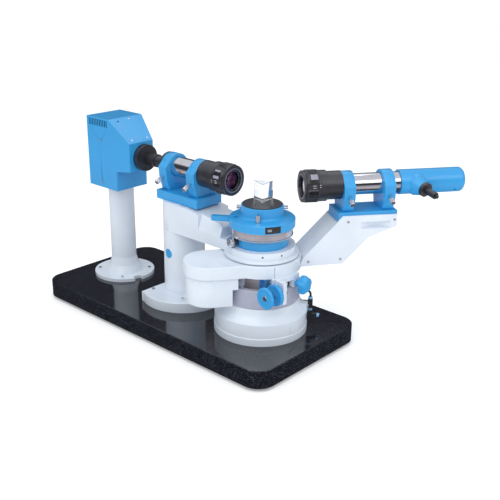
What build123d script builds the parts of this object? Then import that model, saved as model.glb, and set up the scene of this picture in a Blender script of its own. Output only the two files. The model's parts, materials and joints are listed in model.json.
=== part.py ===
from build123d import *
import math
import os

os.makedirs("parts", exist_ok=True)

# Prism spectrometer on a granite slab.  A lamp feeds a fixed collimator, and a telescope on a
# turning arm reads the beam that leaves the prism.  Everything is modelled from the goniometer's
# vertical axis at the slab's top face: +X runs along the slab, +Y across it, +Z up, in mm.
# The last section moves the whole instrument onto its feet.

# ---- slab and feet ----
slab_length = 900.0
slab_width = 420.0
slab_height = 50.0
slab_corner_radius = 50.0
slab_bevel = 2.0
axis_to_slab_end = 185.0
foot_radius = 20.0
foot_height = 10.0
foot_inset = 85.0

# ---- optics shared by both tubes; stations are distances from the goniometer axis ----
optical_height = 395.0
tube_radius = 28.5
tube_wall = 4.5
lens_front = 104.0
lip_length = 5.0
lip_radius = 42.0
focus_ring_length = 39.0
focus_ring_radius = 44.0
shoulder_length = 20.0
shoulder_radius = 41.5
barrel_radius = 38.0
sleeve_radius = 35.5
lens_radius = 30.0
lens_thickness = 9.0
lens_recess = 5.0
cradle_start = 196.0
cradle_length = 164.0
cradle_bottom = 304.0
cradle_height = 26.0
yoke_thickness = 31.0
yoke_stations = (209.0, 320.0)
yoke_half_width = 48.0
yoke_foot_half_width = 34.0
yoke_crease_height = 4.0
yoke_arch_rise = 37.0
slit_ring_radius = 36.0

# ---- clearances ----
running_gap = 0.05
curved_gap = 0.3
seat_gap = 0.1
turning_gap = 0.5

# ---- goniometer base ----
base_radius = 128.0
rim_height = 21.0
band_height = 61.0
base_top = 95.0
base_neck_radius = 106.0
drum_radius = 105.0
drum_bottom_gap = 1.5
drum_top = 147.0
spindle_radius = 40.0
boss_azimuth = 28.0
boss_reach = 129.0
boss_height = 76.0

# ---- telescope arm ----
arm_angle = 54.0
rotor_radius = 97.0
hub_bottom = 182.0
hub_thickness = 34.0
hub_radius = 106.0
lobe_reach = 146.0
lobe_offset = -20.0
lobe_radius = 68.0
waist_fillet = 24.0
box_bottom = 102.0
box_step_height = 149.0
box_inset = 5.0
box_upper_reach = 79.0
box_lower_reach = 94.0
box_wall = 6.0
arm_half_width = 49.0
side_plate_thickness = 5.0
arm_root = 92.0
arm_knee = 212.0
arm_bend = 283.0
arm_bend_height = 261.0
arm_tip_height = 287.0
side_plate_top = 320.0
side_plate_bottom = 188.0

# ---- telescope camera head and light port ----
head_start = 372.0
head_end = 556.0
head_radius = 33.5
head_wall = 3.0
port_station = 413.0
port_tilt_down = 12.0
port_sweep = 22.0
port_root_radius = 30.0
port_root_end = 24.0
port_ring_radius = 19.5
port_cone_end = 47.0
port_ring_end = 57.0
connector_radius = 9.5
connector_end = 92.0

# ---- drive bracket, fine drive and clamp, on the arm ----
drive_azimuth = -7.0
drive_distance = 122.0
drive_height = 150.0
drive_shaft_radius = 5.0
outer_disc_station = -98.0
outer_disc_radius = 28.5
outer_disc_thickness = 9.0
inner_disc_station = -66.0
inner_disc_radius = 29.0
inner_disc_thickness = 11.0
bracket_station = -46.0
bracket_thickness = 12.0
clamp_azimuth = 7.0
clamp_height = 157.0
star_radius = 26.0
star_start = 125.0
star_thickness = 24.0
star_lobes = 5

# ---- collimator column and bridge ----
column_reach = 300.0
column_radius = 60.0
column_flange_radius = 127.0
column_flange_height = 30.0
column_flange_flat = 66.0
bridge_bottom = 219.0
bridge_low_top = 249.0
bridge_half_width = 60.0
bridge_ridge_half_width = 40.0
bridge_ridge_end = 96.0
bridge_ridge_tip_height = 284.0
ring_step_radius = 100.0
ring_step_height = 7.0
ring_radius = 90.0
ring_top = 245.0

# ---- prism table ----
stage_disc_radius = 71.0
stage_disc_top = 273.0
scale_radius = 83.0
scale_top = 296.0
table_radius = 88.0
table_bottom = 297.0
table_rim_height = 20.0
table_neck_radius = 56.0
table_top = 355.0
table_plate_thickness = 5.0
table_spindle_radius = 12.0
lever_azimuth = -147.0
lever_reach = 137.0
lever_width = 14.0
lever_height = 14.0
window_start = -43.5
window_end = -16.0
window_depth = 7.0
window_height = 18.0
prism_side = 52.0
prism_height = 50.0
prism_azimuth = 128.0
clamp_knob_azimuth = -112.0
clamp_knob_height = 259.0
clamp_knob_radius = 13.0

# ---- lamp ----
lamp_reach = 581.0
lamp_column_radius = 38.7
lamp_column_wall = 30.0
lamp_flare_radius = 58.0
lamp_flare_top = 58.0
lamp_flange_radius = 93.6
lamp_flange_thickness = 10.0
lamp_column_top = 292.0
house_back = 650.0
house_lower_front = 519.0
house_front = 456.0
house_top_front = 548.0
house_top = 504.0
house_slope_bottom = 446.0
house_step_front = 362.0
house_step_back = 352.0
house_half_width = 64.0
house_taper_half_width = 26.0
sheet = 2.0
base_plate_thickness = 10.0
socket_height = 40.0
louvre_count = 11
louvre_width = 4.0
louvre_height = 20.0
port_flange_radius = 39.0
port_flange_thickness = 17.0
port_flange_side = -12.0
port_flange_rise = 5.0
condenser_radius = 17.0

# ---- fasteners ----
cap_head_radius = 5.0
cap_head_height = 5.0
cap_depth = 12.0

BOTTOM = (Align.CENTER, Align.CENTER, Align.MIN)
hub_top = hub_bottom + hub_thickness
cradle_top = cradle_bottom + cradle_height
bench = Pos(0, 0, optical_height)


# ---------------------------------------------------------------- shape helpers
def disc(radius, low, high, x=0.0, y=0.0):
    """Upright cylinder between two heights."""
    return Pos(x, y, low) * Cylinder(radius, high - low, align=BOTTOM)


def collar(outer, inner, low, high, x=0.0, y=0.0):
    """Upright cylinder with a bore."""
    return disc(outer, low, high, x, y) - disc(inner, low - 1, high + 1, x, y)


def rod(radius, start, end):
    """Cylinder on the optical axis between two stations."""
    return bench * Pos(start, 0, 0) * Rot(0, 90, 0) * Cylinder(radius, end - start, align=BOTTOM)


def sleeve(outer, inner, start, end):
    """Tube on the optical axis between two stations."""
    return rod(outer, start, end) - rod(inner, start - 1, end + 1)


def block(x_range, y_range, z_range):
    """Box between two values on each axis."""
    size = [high - low for low, high in (x_range, y_range, z_range)]
    middle = [(high + low) / 2 for low, high in (x_range, y_range, z_range)]
    return Pos(*middle) * Box(*size)


def turned(points):
    """Solid of revolution about Z from (radius, height) corners."""
    outline = Polyline(*[(r, 0, z) for r, z in points], close=True)
    return revolve(make_face(outline.edges()), Axis.Z)


def profile_slab(points, y_low, y_high):
    """Outline of (x, z) corners, extruded across from y_low to y_high."""
    outline = Polyline(*[(x, y_low, z) for x, z in points], close=True)
    return extrude(make_face(outline.edges()), amount=y_high - y_low, dir=(0, 1, 0))


def group(solids):
    """Separate solids that share one node."""
    return Compound(list(solids))


def radial(azimuth, reach, height):
    """Seat whose local +Z points away from the goniometer axis."""
    return Rot(0, 0, azimuth) * Pos(reach, 0, height) * Rot(0, 90, 0)


def cap_screw(head=cap_head_radius, height=cap_head_height, depth=cap_depth):
    """Socket-head screw, its seat at the local origin and its head along local +Z."""
    screw = Cylinder(head, height, align=BOTTOM) + Pos(0, 0, -depth) * Cylinder(head * 0.55, depth, align=BOTTOM)
    socket = extrude(RegularPolygon(head * 0.55, 6), amount=height)
    return screw - Pos(0, 0, height * 0.4) * socket


def screw_hole(head=cap_head_radius, depth=cap_depth):
    """Hole that a cap screw's shank fills, with a small gap round it."""
    return Pos(0, 0, -depth - 1) * Cylinder(head * 0.55 + seat_gap, depth + 2, align=BOTTOM)


def edges_at(shape, height):
    """Edges that lie flat at one height."""
    return [edge for edge in shape.edges() if abs(edge.center().Z - height) < 0.01
            and edge.bounding_box().size.Z < 0.01]


# ---------------------------------------------------------------- slab and feet
slab_middle = axis_to_slab_end - slab_length / 2


def granite_slab():
    outline = RectangleRounded(slab_length, slab_width, slab_corner_radius)
    slab = Pos(slab_middle, 0, -slab_height) * extrude(outline, amount=slab_height)
    return chamfer(edges_at(slab, 0), slab_bevel)


def foot_places():
    reach = slab_length / 2 - foot_inset
    side = slab_width / 2 - foot_inset
    return [(slab_middle + i * reach, j * side) for i in (-1, 1) for j in (-1, 1)]


def rubber_feet():
    low = -slab_height - foot_height
    return group(disc(foot_radius, low, -slab_height, x, y) for x, y in foot_places())


# ---------------------------------------------------------------- lamp
lamp_screw_azimuths = (-45.0, -135.0, 135.0, 45.0)
lamp_screw_reach = 78.0


def lamp_screw_seats():
    return [Pos(-lamp_reach, 0, lamp_flange_thickness) * Rot(0, 0, a) * Pos(lamp_screw_reach, 0, 0)
            for a in lamp_screw_azimuths]


def lamp_column():
    """Turned column on a flared foot, bored for the lamp's lead, with a cable notch in the rim."""
    bore = lamp_column_radius - lamp_column_wall
    middle = (lamp_flare_top + lamp_flange_thickness) / 2
    waist = lamp_column_radius + (lamp_flare_radius - lamp_column_radius) * 0.35
    points = [(bore, 0), (lamp_flange_radius, 0), (lamp_flange_radius, lamp_flange_thickness),
              (lamp_flare_radius, lamp_flange_thickness), (waist, middle),
              (lamp_column_radius, lamp_flare_top), (lamp_column_radius, lamp_column_top),
              (bore, lamp_column_top)]
    column = Pos(-lamp_reach, 0, 0) * turned(points)
    notch = Pos(-lamp_reach, 0, 0) * Rot(0, 0, -12) * block(
        (lamp_flange_radius - 16, lamp_flange_radius + 1), (-13, 13), (-1, lamp_flange_thickness + 1))
    return column - notch - [seat * screw_hole(depth=lamp_flange_thickness) for seat in lamp_screw_seats()]


def house_block(inset):
    """Outer or inner form of the lamp house; inset pulls every wall and the roof inwards."""
    points = [(-house_back + inset, lamp_column_top - (1 if inset else 0)),
              (-house_lower_front - inset, lamp_column_top - (1 if inset else 0)),
              (-house_lower_front - inset, house_step_back + inset),
              (-house_front - inset, house_step_front + inset),
              (-house_front - inset, house_slope_bottom - inset),
              (-house_top_front - inset, house_top - inset),
              (-house_back + inset, house_top - inset)]
    width = house_half_width - inset
    body = profile_slab(points, -width, width)
    taper = house_taper_half_width - inset
    run = house_top_front - house_front
    corners = [(-house_top_front, width), (-house_front - inset, taper),
               (-house_front + run, taper - run), (-house_front + run, width + 1),
               (-house_top_front, width + 1)]
    wedge_face = make_face(Polyline(*[(x, y, 0) for x, y in corners], close=True).edges())
    return body - extrude(wedge_face, amount=house_top + 10, dir=(0, 0, 1))


def louvres():
    pitch = (house_back - house_top_front - 14) / louvre_count
    first = -house_back + 10
    top = house_top - 5
    return [block((first + i * pitch, first + i * pitch + louvre_width),
                  (-house_half_width - 1, house_half_width + 1), (top - louvre_height, top))
            for i in range(louvre_count)]


house_screw_head = 3.0


def house_screw_seats():
    """Small screws in the near and far walls of the lamp house, and in its lower front wall."""
    places = [(-house_back + 60, 435.0), (-house_back + 61, 308.0)]
    near = [Pos(x, -house_half_width, z) * Rot(90, 0, 0) for x, z in places]
    far = [Pos(x, house_half_width, z) * Rot(-90, 0, 0) for x, z in places]
    return near + far


def lamp_housing():
    shell = house_block(0) - house_block(sheet) - louvres()
    port = Pos(-house_front - 5, 0, optical_height) * Rot(0, 90, 0) * Cylinder(condenser_radius + 1, 10, align=BOTTOM)
    holes = [seat * screw_hole(house_screw_head, sheet) for seat in house_screw_seats()]
    return shell - port - holes


def lamp_base_plate():
    """Plate inside the house's foot, on top of the column."""
    slice_low = block((-house_back, -house_front), (-house_half_width, house_half_width),
                      (lamp_column_top, lamp_column_top + base_plate_thickness))
    plate = house_block(sheet + seat_gap) & slice_low
    return plate - disc(8, lamp_column_top - 1, lamp_column_top + base_plate_thickness + 1, -lamp_reach)


def lamp_socket():
    low = lamp_column_top + base_plate_thickness
    return collar(17, 6, low, low + socket_height, -lamp_reach)


def lamp_bulb():
    """Glass discharge tube with a domed end, standing in its socket."""
    low = lamp_column_top + base_plate_thickness + socket_height
    straight = disc(15, low, low + 70, -lamp_reach)
    return straight + Pos(-lamp_reach, 0, low + 70) * Sphere(15)


def lamp_port_flange():
    """Round flange on the lamp house's outlet, set off the beam, with a filter slot in its top."""
    end = -house_front + port_flange_thickness
    off_beam = Pos(0, port_flange_side, port_flange_rise)
    flange = off_beam * rod(port_flange_radius, -house_front, end)
    slot = block((-house_front + 6, -house_front + 11), (-22, 22),
                 (optical_height + condenser_radius + 8, optical_height + port_flange_radius + 1))
    return flange - off_beam * slot - rod(condenser_radius + seat_gap, -house_front - 1, end + 1)


def condenser_tube():
    """Black tube that carries the light from the lamp's outlet into the collimator's slit end."""
    start = -house_front + 3
    end = -(yoke_stations[1] + yoke_thickness + 15)
    tube = sleeve(condenser_radius, condenser_radius - 3, start, end)
    rib_start = start + port_flange_thickness + 10
    return tube + sleeve(condenser_radius + 2, condenser_radius - 3, rib_start, rib_start + 22)


def condenser_lens():
    lens_x = -house_front + 30
    return rod(condenser_radius - 3, lens_x, lens_x + 8)


# ---------------------------------------------------------------- collimator column and bridge
column_screw_azimuths = (-120.0, -48.0, 48.0, 120.0)
column_screw_reach = 96.0


def column_screw_seats():
    return [Pos(-column_reach, 0, column_flange_height) * Rot(0, 0, a) * Pos(column_screw_reach, 0, 0)
            for a in column_screw_azimuths]


def collimator_flange():
    """Round foot with one straight side, away from the goniometer."""
    foot = disc(column_flange_radius, 0, column_flange_height, -column_reach)
    side = -column_reach - column_flange_flat
    half = column_flange_radius - 14
    foot = foot + block((side, -column_reach), (-half, half), (0, column_flange_height))
    foot = foot - block((side - 100, side), (-200, 200), (-1, column_flange_height + 1))
    foot = chamfer(edges_at(foot, column_flange_height), 1.5)
    return foot - [seat * screw_hole() for seat in column_screw_seats()]


def collimator_column():
    return collar(column_radius, column_radius - 10, column_flange_height, bridge_bottom, -column_reach)


def bridge_arm():
    """Casting on top of the column that carries the prism table over the arm's hub."""
    head = disc(column_radius, bridge_bottom, cradle_bottom, -column_reach)
    low = block((-column_reach, 0), (-bridge_half_width, bridge_half_width), (bridge_bottom, bridge_low_top))
    ridge_points = [(-column_reach, bridge_low_top - 1), (-bridge_ridge_end, bridge_low_top - 1),
                    (-bridge_ridge_end, bridge_ridge_tip_height - 8),
                    (-bridge_ridge_end - 14, bridge_ridge_tip_height),
                    (-column_reach + column_radius + 6, cradle_bottom - 1), (-column_reach, cradle_bottom - 1)]
    ridge = profile_slab(ridge_points, -bridge_half_width, bridge_half_width)
    for side in (-1, 1):
        shoulder = [(-180, side * (bridge_half_width + 1), bridge_low_top),
                    (-180, side * bridge_ridge_half_width, bridge_ridge_tip_height + 24),
                    (-180, side * (bridge_half_width + 1), bridge_ridge_tip_height + 24)]
        face = make_face(Polyline(*shoulder, close=True).edges())
        ridge = ridge - extrude(face, amount=180, dir=(1, 0, 0))
    steps = disc(ring_step_radius, bridge_bottom, bridge_bottom + ring_step_height)
    steps = steps + disc(ring_radius, bridge_bottom, ring_top)
    casting = head + low + ridge
    casting = casting - disc(ring_radius, ring_top, cradle_bottom) + steps
    casting = casting - disc(table_radius + 6, stage_disc_top, cradle_bottom + 1)
    return casting - disc(table_spindle_radius + 14, bridge_bottom - 1, ring_top + 1)


# ---------------------------------------------------------------- both optical tubes
def cradle(half_width):
    """Plate under the two yokes."""
    plate = block((cradle_start, cradle_start + cradle_length), (-half_width, half_width),
                  (cradle_bottom, cradle_top))
    return chamfer(edges_at(plate, cradle_top), 1.0)


def yoke(station, side):
    """Arched clamp ring on a narrow foot; side is where its clamp screw sits, -1 or +1 in Y."""
    foot_z = cradle_top - optical_height
    crease = yoke_crease_height
    wide = yoke_half_width
    foot = yoke_foot_half_width
    facet = 14.0
    flank_top = -32.0
    lines = Polyline((-foot, foot_z), (foot, foot_z)) + ThreePointArc(
        (foot, foot_z), (foot + 3.5, (foot_z + flank_top) / 2 - 4), (wide - 3, flank_top))
    lines = lines + Polyline((wide - 3, flank_top), (wide, crease), (wide - facet, crease + facet))
    lines = lines + ThreePointArc((wide - facet, crease + facet), (0, yoke_arch_rise), (facet - wide, crease + facet))
    lines = lines + Polyline((facet - wide, crease + facet), (-wide, crease), (3 - wide, flank_top))
    lines = lines + ThreePointArc(
        (3 - wide, flank_top), (-foot - 3.5, (foot_z + flank_top) / 2 - 4), (-foot, foot_z))
    plane = Plane(origin=(station, 0, optical_height), x_dir=(0, 1, 0), z_dir=(1, 0, 0))
    body = extrude(plane * make_face(lines.edges()), amount=yoke_thickness)
    body = body - rod(tube_radius + seat_gap, station - 1, station + yoke_thickness + 1)
    return body - clamp_screw_seat(station, side) * Cylinder(clamp_screw_radius + running_gap, 60)


clamp_screw_radius = 3.5
clamp_screw_drop = 28.0
clamp_head_radius = 6.5
clamp_head_length = 18.0
clamp_head_reach = 13.0
clamp_seat_reach = 47.0


def clamp_screw_seat(station, side):
    """Radial seat below the tube's middle, local +Z pointing out of the yoke's flank."""
    turn = Rot(90 + clamp_screw_drop, 0, 0) if side < 0 else Rot(-90 - clamp_screw_drop, 0, 0)
    return bench * Pos(station + yoke_thickness / 2, 0, 0) * turn * Pos(0, 0, clamp_seat_reach + 2)


def clamp_screw(station, side):
    """Thumb screw that grips the tube through the yoke's flank."""
    inner = tube_radius + curved_gap - clamp_seat_reach - 2
    shank = Pos(0, 0, inner) * Cylinder(clamp_screw_radius, clamp_head_reach + 1 - inner, align=BOTTOM)
    head = Pos(0, 0, clamp_head_reach) * Cylinder(clamp_head_radius, clamp_head_length, align=BOTTOM)
    head = chamfer(head.edges().filter_by(GeomType.CIRCLE), 1.2)
    return clamp_screw_seat(station, side) * (shank + head)


shoulder_start = lens_front + lip_length + focus_ring_length
barrel_start = shoulder_start + shoulder_length
barrel_end = yoke_stations[0]
tube_start = barrel_start + 6


def steel_tube(end):
    return sleeve(tube_radius, tube_radius - tube_wall, tube_start, end)


def lens_barrel():
    """Black lens mount: front lip, sleeve under the focus ring, shoulder and rear barrel."""
    bore = lens_radius + seat_gap
    body = rod(lip_radius, lens_front, lens_front + lip_length)
    body = body + rod(sleeve_radius, lens_front, shoulder_start + 1)
    body = body + rod(shoulder_radius, shoulder_start, barrel_start)
    body = body + rod(barrel_radius, barrel_start, barrel_end)
    body = body - rod(bore, lens_front - 1, lens_front + lens_recess + lens_thickness)
    body = body - rod(tube_radius - tube_wall, lens_front, barrel_end + 1)
    return body - rod(tube_radius + seat_gap, tube_start - seat_gap, barrel_end + 1)


def focus_ring():
    start = lens_front + lip_length + turning_gap
    end = shoulder_start - turning_gap
    ring = sleeve(focus_ring_radius, sleeve_radius + curved_gap, start, end)
    outer = [e for e in ring.edges().filter_by(GeomType.CIRCLE) if abs(e.radius - focus_ring_radius) < 0.01]
    return chamfer(outer, 1.2)


def objective_lens():
    """Doublet with a domed front face."""
    start = lens_front + lens_recess
    lens = rod(lens_radius, start, start + lens_thickness)
    dome_radius = 90.0
    dome = bench * Pos(start + dome_radius, 0, 0) * Sphere(dome_radius)
    return lens & dome


def slit_unit():
    """Adjustable slit: a slotted disc in the tube's rear end, and a wide ring round the tube to set it."""
    station = yoke_stations[1] + yoke_thickness + 1
    unit = rod(tube_radius - tube_wall, station + 4, station + 10)
    unit = unit - block((station, station + 11), (-0.5, 0.5), (optical_height - 6, optical_height + 6))
    return group([unit, sleeve(slit_ring_radius, tube_radius + seat_gap, station, station + 9)])


# ---------------------------------------------------------------- goniometer base
def goniometer_base():
    """Rim, upright band and a hollow curve up to the neck under the drum, with a boss for the air line."""
    lines = Polyline((spindle_radius, 0, 0), (base_radius, 0, 0), (base_radius, 0, rim_height - 1.5),
                     (base_radius - 1.5, 0, rim_height), (base_radius - 1.5, 0, band_height - 2),
                     (base_radius - 3.5, 0, band_height))
    lines = lines + ThreePointArc((base_radius - 3.5, 0, band_height),
                                  (base_radius - 15.5, 0, (band_height + base_top) / 2 - 3),
                                  (base_neck_radius, 0, base_top - 2))
    lines = lines + Polyline((base_neck_radius, 0, base_top - 2), (base_neck_radius - 2, 0, base_top),
                             (spindle_radius, 0, base_top), (spindle_radius, 0, 0))
    body = revolve(make_face(lines.edges()), Axis.Z)
    boss = block((spindle_radius + 10, boss_reach), (-9, 9), (band_height - 4, boss_height + 10))
    return body + Rot(0, 0, boss_azimuth) * boss - boss_seat() * screw_hole(4, 8)


def boss_seat():
    return radial(boss_azimuth, boss_reach, boss_height)


def goniometer_drum():
    """Drum on a short neck, so that a dark seam shows under it."""
    seam = base_top + drum_bottom_gap
    points = [(spindle_radius + seat_gap, base_top), (drum_radius - 3, base_top), (drum_radius - 3, seam),
              (drum_radius, seam), (drum_radius, drum_top - 1.5), (drum_radius - 1.5, drum_top),
              (spindle_radius + seat_gap, drum_top)]
    return turned(points)


def spindle():
    """Fixed steel axle that the arm turns on."""
    return collar(spindle_radius - running_gap, 18, 2, hub_top - 2)


fitting_azimuth = 42.0
fitting_reach = 136.0
fitting_radius = 6.5
hose_radius = 3.0
collar_radius = 5.5


def air_fittings():
    """Push-in fittings beside the base: an upper one with its short hose, and a lower elbow."""
    lean = Rot(0, 0, fitting_azimuth)
    upper = disc(fitting_radius, 58, 84, fitting_reach)
    stub = block((base_neck_radius, fitting_reach), (-4, 4), (62, 78))
    lower = disc(fitting_radius, 34, 50, fitting_reach)
    link = disc(hose_radius, 50, 58, fitting_reach)
    arm = Pos(fitting_reach, 0, 38) * Rot(0, 100, 0) * Cylinder(fitting_radius - 1, 18, align=BOTTOM)
    inlet = Pos(fitting_reach, 0, 38) * Rot(0, 100, 0) * Pos(0, 0, 6) * Cylinder(hose_radius, 30, align=BOTTOM)
    hose_top = 108.0
    bend = 12.0
    path = Line((fitting_reach, 0, 84), (fitting_reach, 0, hose_top - bend)) + ThreePointArc(
        (fitting_reach, 0, hose_top - bend),
        (fitting_reach - bend * (1 - math.cos(math.pi / 4)), 0, hose_top - bend + bend * math.sin(math.pi / 4)),
        (fitting_reach - bend, 0, hose_top))
    path = path + Line((fitting_reach - bend, 0, hose_top), (drum_radius + seat_gap, 0, hose_top))
    hose = sweep(Plane(origin=(fitting_reach, 0, 84), z_dir=(0, 0, 1)) * Circle(hose_radius - seat_gap), path=path)
    body = upper + stub + lower + link + arm - inlet + hose
    return lean * (body - goniometer_base())


def air_collars():
    """Release collars of the push-in fittings."""
    lean = Rot(0, 0, fitting_azimuth)
    top = collar(collar_radius, hose_radius, 84, 90, fitting_reach)
    middle = collar(collar_radius, hose_radius + seat_gap, 50.2, 55.8, fitting_reach)
    end = Pos(fitting_reach, 0, 38) * Rot(0, 100, 0) * Pos(0, 0, 18)
    ring = end * (Cylinder(collar_radius, 7, align=BOTTOM) - Cylinder(hose_radius, 20))
    return group([lean * top, lean * middle, lean * ring])


# ---------------------------------------------------------------- telescope arm
def lobe_outline(inset):
    """Plan of the arm's counterweight lobe: a round end with straight sides to the hub."""
    radius = lobe_radius - inset
    end = Pos(-lobe_reach, lobe_offset) * Circle(radius)
    band = Pos(-lobe_reach / 2, lobe_offset) * Rectangle(lobe_reach, 2 * radius)
    return end + band


def arm_hub():
    """Lobed plate that turns on the spindle, under the bridge."""
    plan = lobe_outline(0) + Circle(hub_radius)
    waist = [v for v in plan.vertices() if abs(math.hypot(v.X, v.Y) - hub_radius) < 0.5]
    plan = fillet(waist, waist_fillet)
    plate = Pos(0, 0, hub_bottom) * extrude(plan, amount=hub_thickness)
    plate = fillet(edges_at(plate, hub_top), 2.5)
    return plate - disc(spindle_radius, hub_bottom - 1, hub_top + 1)


def rotor_ring():
    """Polished ring under the hub that carries the divided circle."""
    return collar(rotor_radius, spindle_radius, drum_top + turning_gap, hub_bottom)


def box_block(inset):
    """Form of the drive box under the lobe; its inner side is cut round the drum."""
    plan = lobe_outline(box_inset + inset)
    body = Pos(0, 0, box_bottom + inset) * extrude(plan, amount=hub_bottom - box_bottom - 2 * inset)
    upper = block((-box_upper_reach - inset, 200), (-200, 200), (box_step_height - inset, hub_bottom))
    lower = block((-box_lower_reach - inset, 200), (-200, 200), (box_bottom - 1, box_step_height - inset))
    body = body - upper - lower
    body = body - disc(drum_radius + 3 + inset, box_bottom - 1, box_step_height)
    return body - disc(rotor_radius + 3 + inset, box_bottom, hub_bottom)


def drive_box():
    box = box_block(0)
    box = chamfer(edges_at(box, box_bottom), 2.0)
    return box - box_block(box_wall)


def counterweight():
    """Cast weight that balances the telescope, inside the drive box."""
    weight = Pos(-lobe_reach, lobe_offset) * Circle(lobe_radius - box_inset - box_wall - 2)
    low = box_bottom + box_wall
    weight = Pos(0, 0, low) * extrude(weight, amount=44)
    clear_wall = block((-box_lower_reach - box_wall - 2, 0), (-200, 200), (low - 1, low + 60))
    return weight - clear_wall - disc(max(drum_radius, rotor_radius) + box_wall + 8, low - 1, low + 60)


def arm_profile():
    """Side view of the arm between its plates: up from the hub and out under the cradle."""
    slope = (side_plate_top - hub_top + 2) / (cradle_start + 12 - (arm_root + 14))
    frame_top = arm_root + 14 + (cradle_bottom - hub_top) / slope
    tip = cradle_start + cradle_length - 1
    return [(arm_root, side_plate_bottom + 1), (arm_knee - 1, side_plate_bottom + 2),
            (arm_bend, arm_bend_height + 1), (tip, arm_tip_height + 1), (tip, cradle_bottom),
            (frame_top, cradle_bottom), (arm_root + 14, hub_top)]


grip_low = 284.0
grip_high = 304.0 - 1.0
grip_start = 257.0
grip_length = 86.0
grip_depth = 13.0


def grip_scoop(side):
    """Shallow cylindrical scoop for the fingers, cut into one side of the arm."""
    radius = ((grip_length / 2) ** 2 + grip_depth ** 2) / (2 * grip_depth)
    middle = grip_start + grip_length / 2
    return disc(radius, grip_low, grip_high, middle, side * (arm_half_width - grip_depth + radius))


def arm_frame():
    """Casting between the side plates, with a scoop for the fingers on both sides."""
    inner = arm_half_width - side_plate_thickness
    frame = profile_slab(arm_profile(), -inner, inner)
    frame = frame - grip_scoop(-1) - grip_scoop(1)
    return frame - disc(hub_radius, side_plate_bottom - 20, hub_top + 1)


side_screw_head = 3.2


def side_screw_seats():
    places = [(116.0, 201.0), (205.0, 203.0), (222.0, 306.0), (351.0, 306.0)]
    near = [Pos(x, -arm_half_width, z) * Rot(90, 0, 0) for x, z in places]
    far = [Pos(x, arm_half_width, z) * Rot(-90, 0, 0) for x, z in places]
    return near + far


def arm_side_plates():
    """Cover plates on both sides of the arm."""
    tip = cradle_start + cradle_length - 1
    outline = [(arm_root, side_plate_bottom), (arm_knee, side_plate_bottom + 1),
               (arm_bend, arm_bend_height), (tip, arm_tip_height), (tip, side_plate_top),
               (cradle_start + 12, side_plate_top + 2), (arm_root + 14, hub_top)]
    plates = []
    for side in (-1, 1):
        low = arm_half_width - side_plate_thickness
        faces = sorted((side * low, side * arm_half_width))
        plate = profile_slab(outline, faces[0], faces[1])
        plate = plate - grip_scoop(side) - disc(hub_radius, side_plate_bottom - 20, hub_top + 5)
        plates.append(plate - [seat * screw_hole(side_screw_head, side_plate_thickness) for seat in side_screw_seats()])
    return group(plates)


def camera_head():
    """Tubular housing with a rounded end, and a cone for the light port on its near side."""
    body = rod(head_radius, head_start, head_end)
    rim = [e for e in body.edges().filter_by(GeomType.CIRCLE) if abs(e.center().X - head_end) < 0.01]
    body = fillet(rim, 11.0)
    body = body + port_seat() * turned([
        (0, 0), (port_root_radius - 4, 0), (port_root_radius, 8), (port_root_radius, port_root_end),
        (port_ring_radius, port_cone_end), (0, port_cone_end)])
    body = body - rod(head_radius - head_wall, head_start + 24, head_end - 6)
    return body - rod(tube_radius + seat_gap, head_start - 1, head_start + 25)


def port_seat():
    """Light port's axis, from the telescope axis out to the near side and slightly down."""
    return bench * Pos(port_station, 0, 0) * Rot(0, 0, port_sweep) * Rot(90 + port_tilt_down, 0, 0)


def light_connector():
    """Ring, plug and short tail of the autocollimation light."""
    ring = Pos(0, 0, port_cone_end) * Cylinder(port_ring_radius, port_ring_end - port_cone_end, align=BOTTOM)
    plug = Pos(0, 0, port_ring_end) * Cylinder(connector_radius, connector_end - port_ring_end, align=BOTTOM)
    tail = Pos(0, 0, connector_end) * Cylinder(connector_radius * 0.5, 7, align=BOTTOM)
    return port_seat() * (ring + plug + tail)


def image_sensor():
    """Camera board across the far end of the head."""
    station = head_end - 34
    board = rod(head_radius - head_wall - 0.5, station, station + 3)
    chip = block((station - 3, station), (-9, 9), (optical_height - 7, optical_height + 7))
    return board + chip


# ---------------------------------------------------------------- drive bracket and its knobs
local_drive = drive_azimuth - arm_angle
local_clamp = clamp_azimuth - arm_angle


def drive_seat():
    """Fine-drive axis in the arm's frame, local +Z along it, towards the bracket's far side."""
    return Rot(0, 0, local_drive) * Pos(drive_distance, 0, drive_height) * Rot(-90, 0, 0)


def clamp_seat():
    return radial(local_clamp, 0, clamp_height)


clamp_shank_radius = 5.0


def drive_bracket():
    """Bracket under the hub that carries the fine drive and the clamp screw."""
    lean = Rot(0, 0, local_drive)
    inner = rotor_radius + 2
    outer = inner + 13
    spread = 27.0
    shelf = collar(outer, inner, hub_bottom - 12, hub_bottom)
    wedge_face = make_face(Polyline((0, 0, 0), *[
        (300 * math.cos(math.radians(a)), 300 * math.sin(math.radians(a)), 0)
        for a in (-spread, -spread / 3, spread / 3, spread * 0.75)], close=True).edges())
    shelf = shelf & (Pos(0, 0, hub_bottom - 20) * extrude(wedge_face, amount=40, dir=(0, 0, 1)))
    plate = block((drum_radius + 1, drive_distance + 15), (bracket_station, bracket_station + bracket_thickness),
                  (drive_height - 27, hub_bottom))
    body = lean * (shelf + plate)
    cheek = Rot(0, 0, local_clamp) * block((inner, outer), (-13, 13), (drum_top + 2, hub_bottom))
    bore = drive_seat() * Pos(0, 0, bracket_station - 1) * Cylinder(
        drive_shaft_radius + running_gap, bracket_thickness + 2, align=BOTTOM)
    clamp_bore = clamp_seat() * Cylinder(clamp_shank_radius + running_gap, 260)
    return body + cheek - bore - clamp_bore - disc(inner - 0.5, drum_top, hub_bottom)


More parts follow.
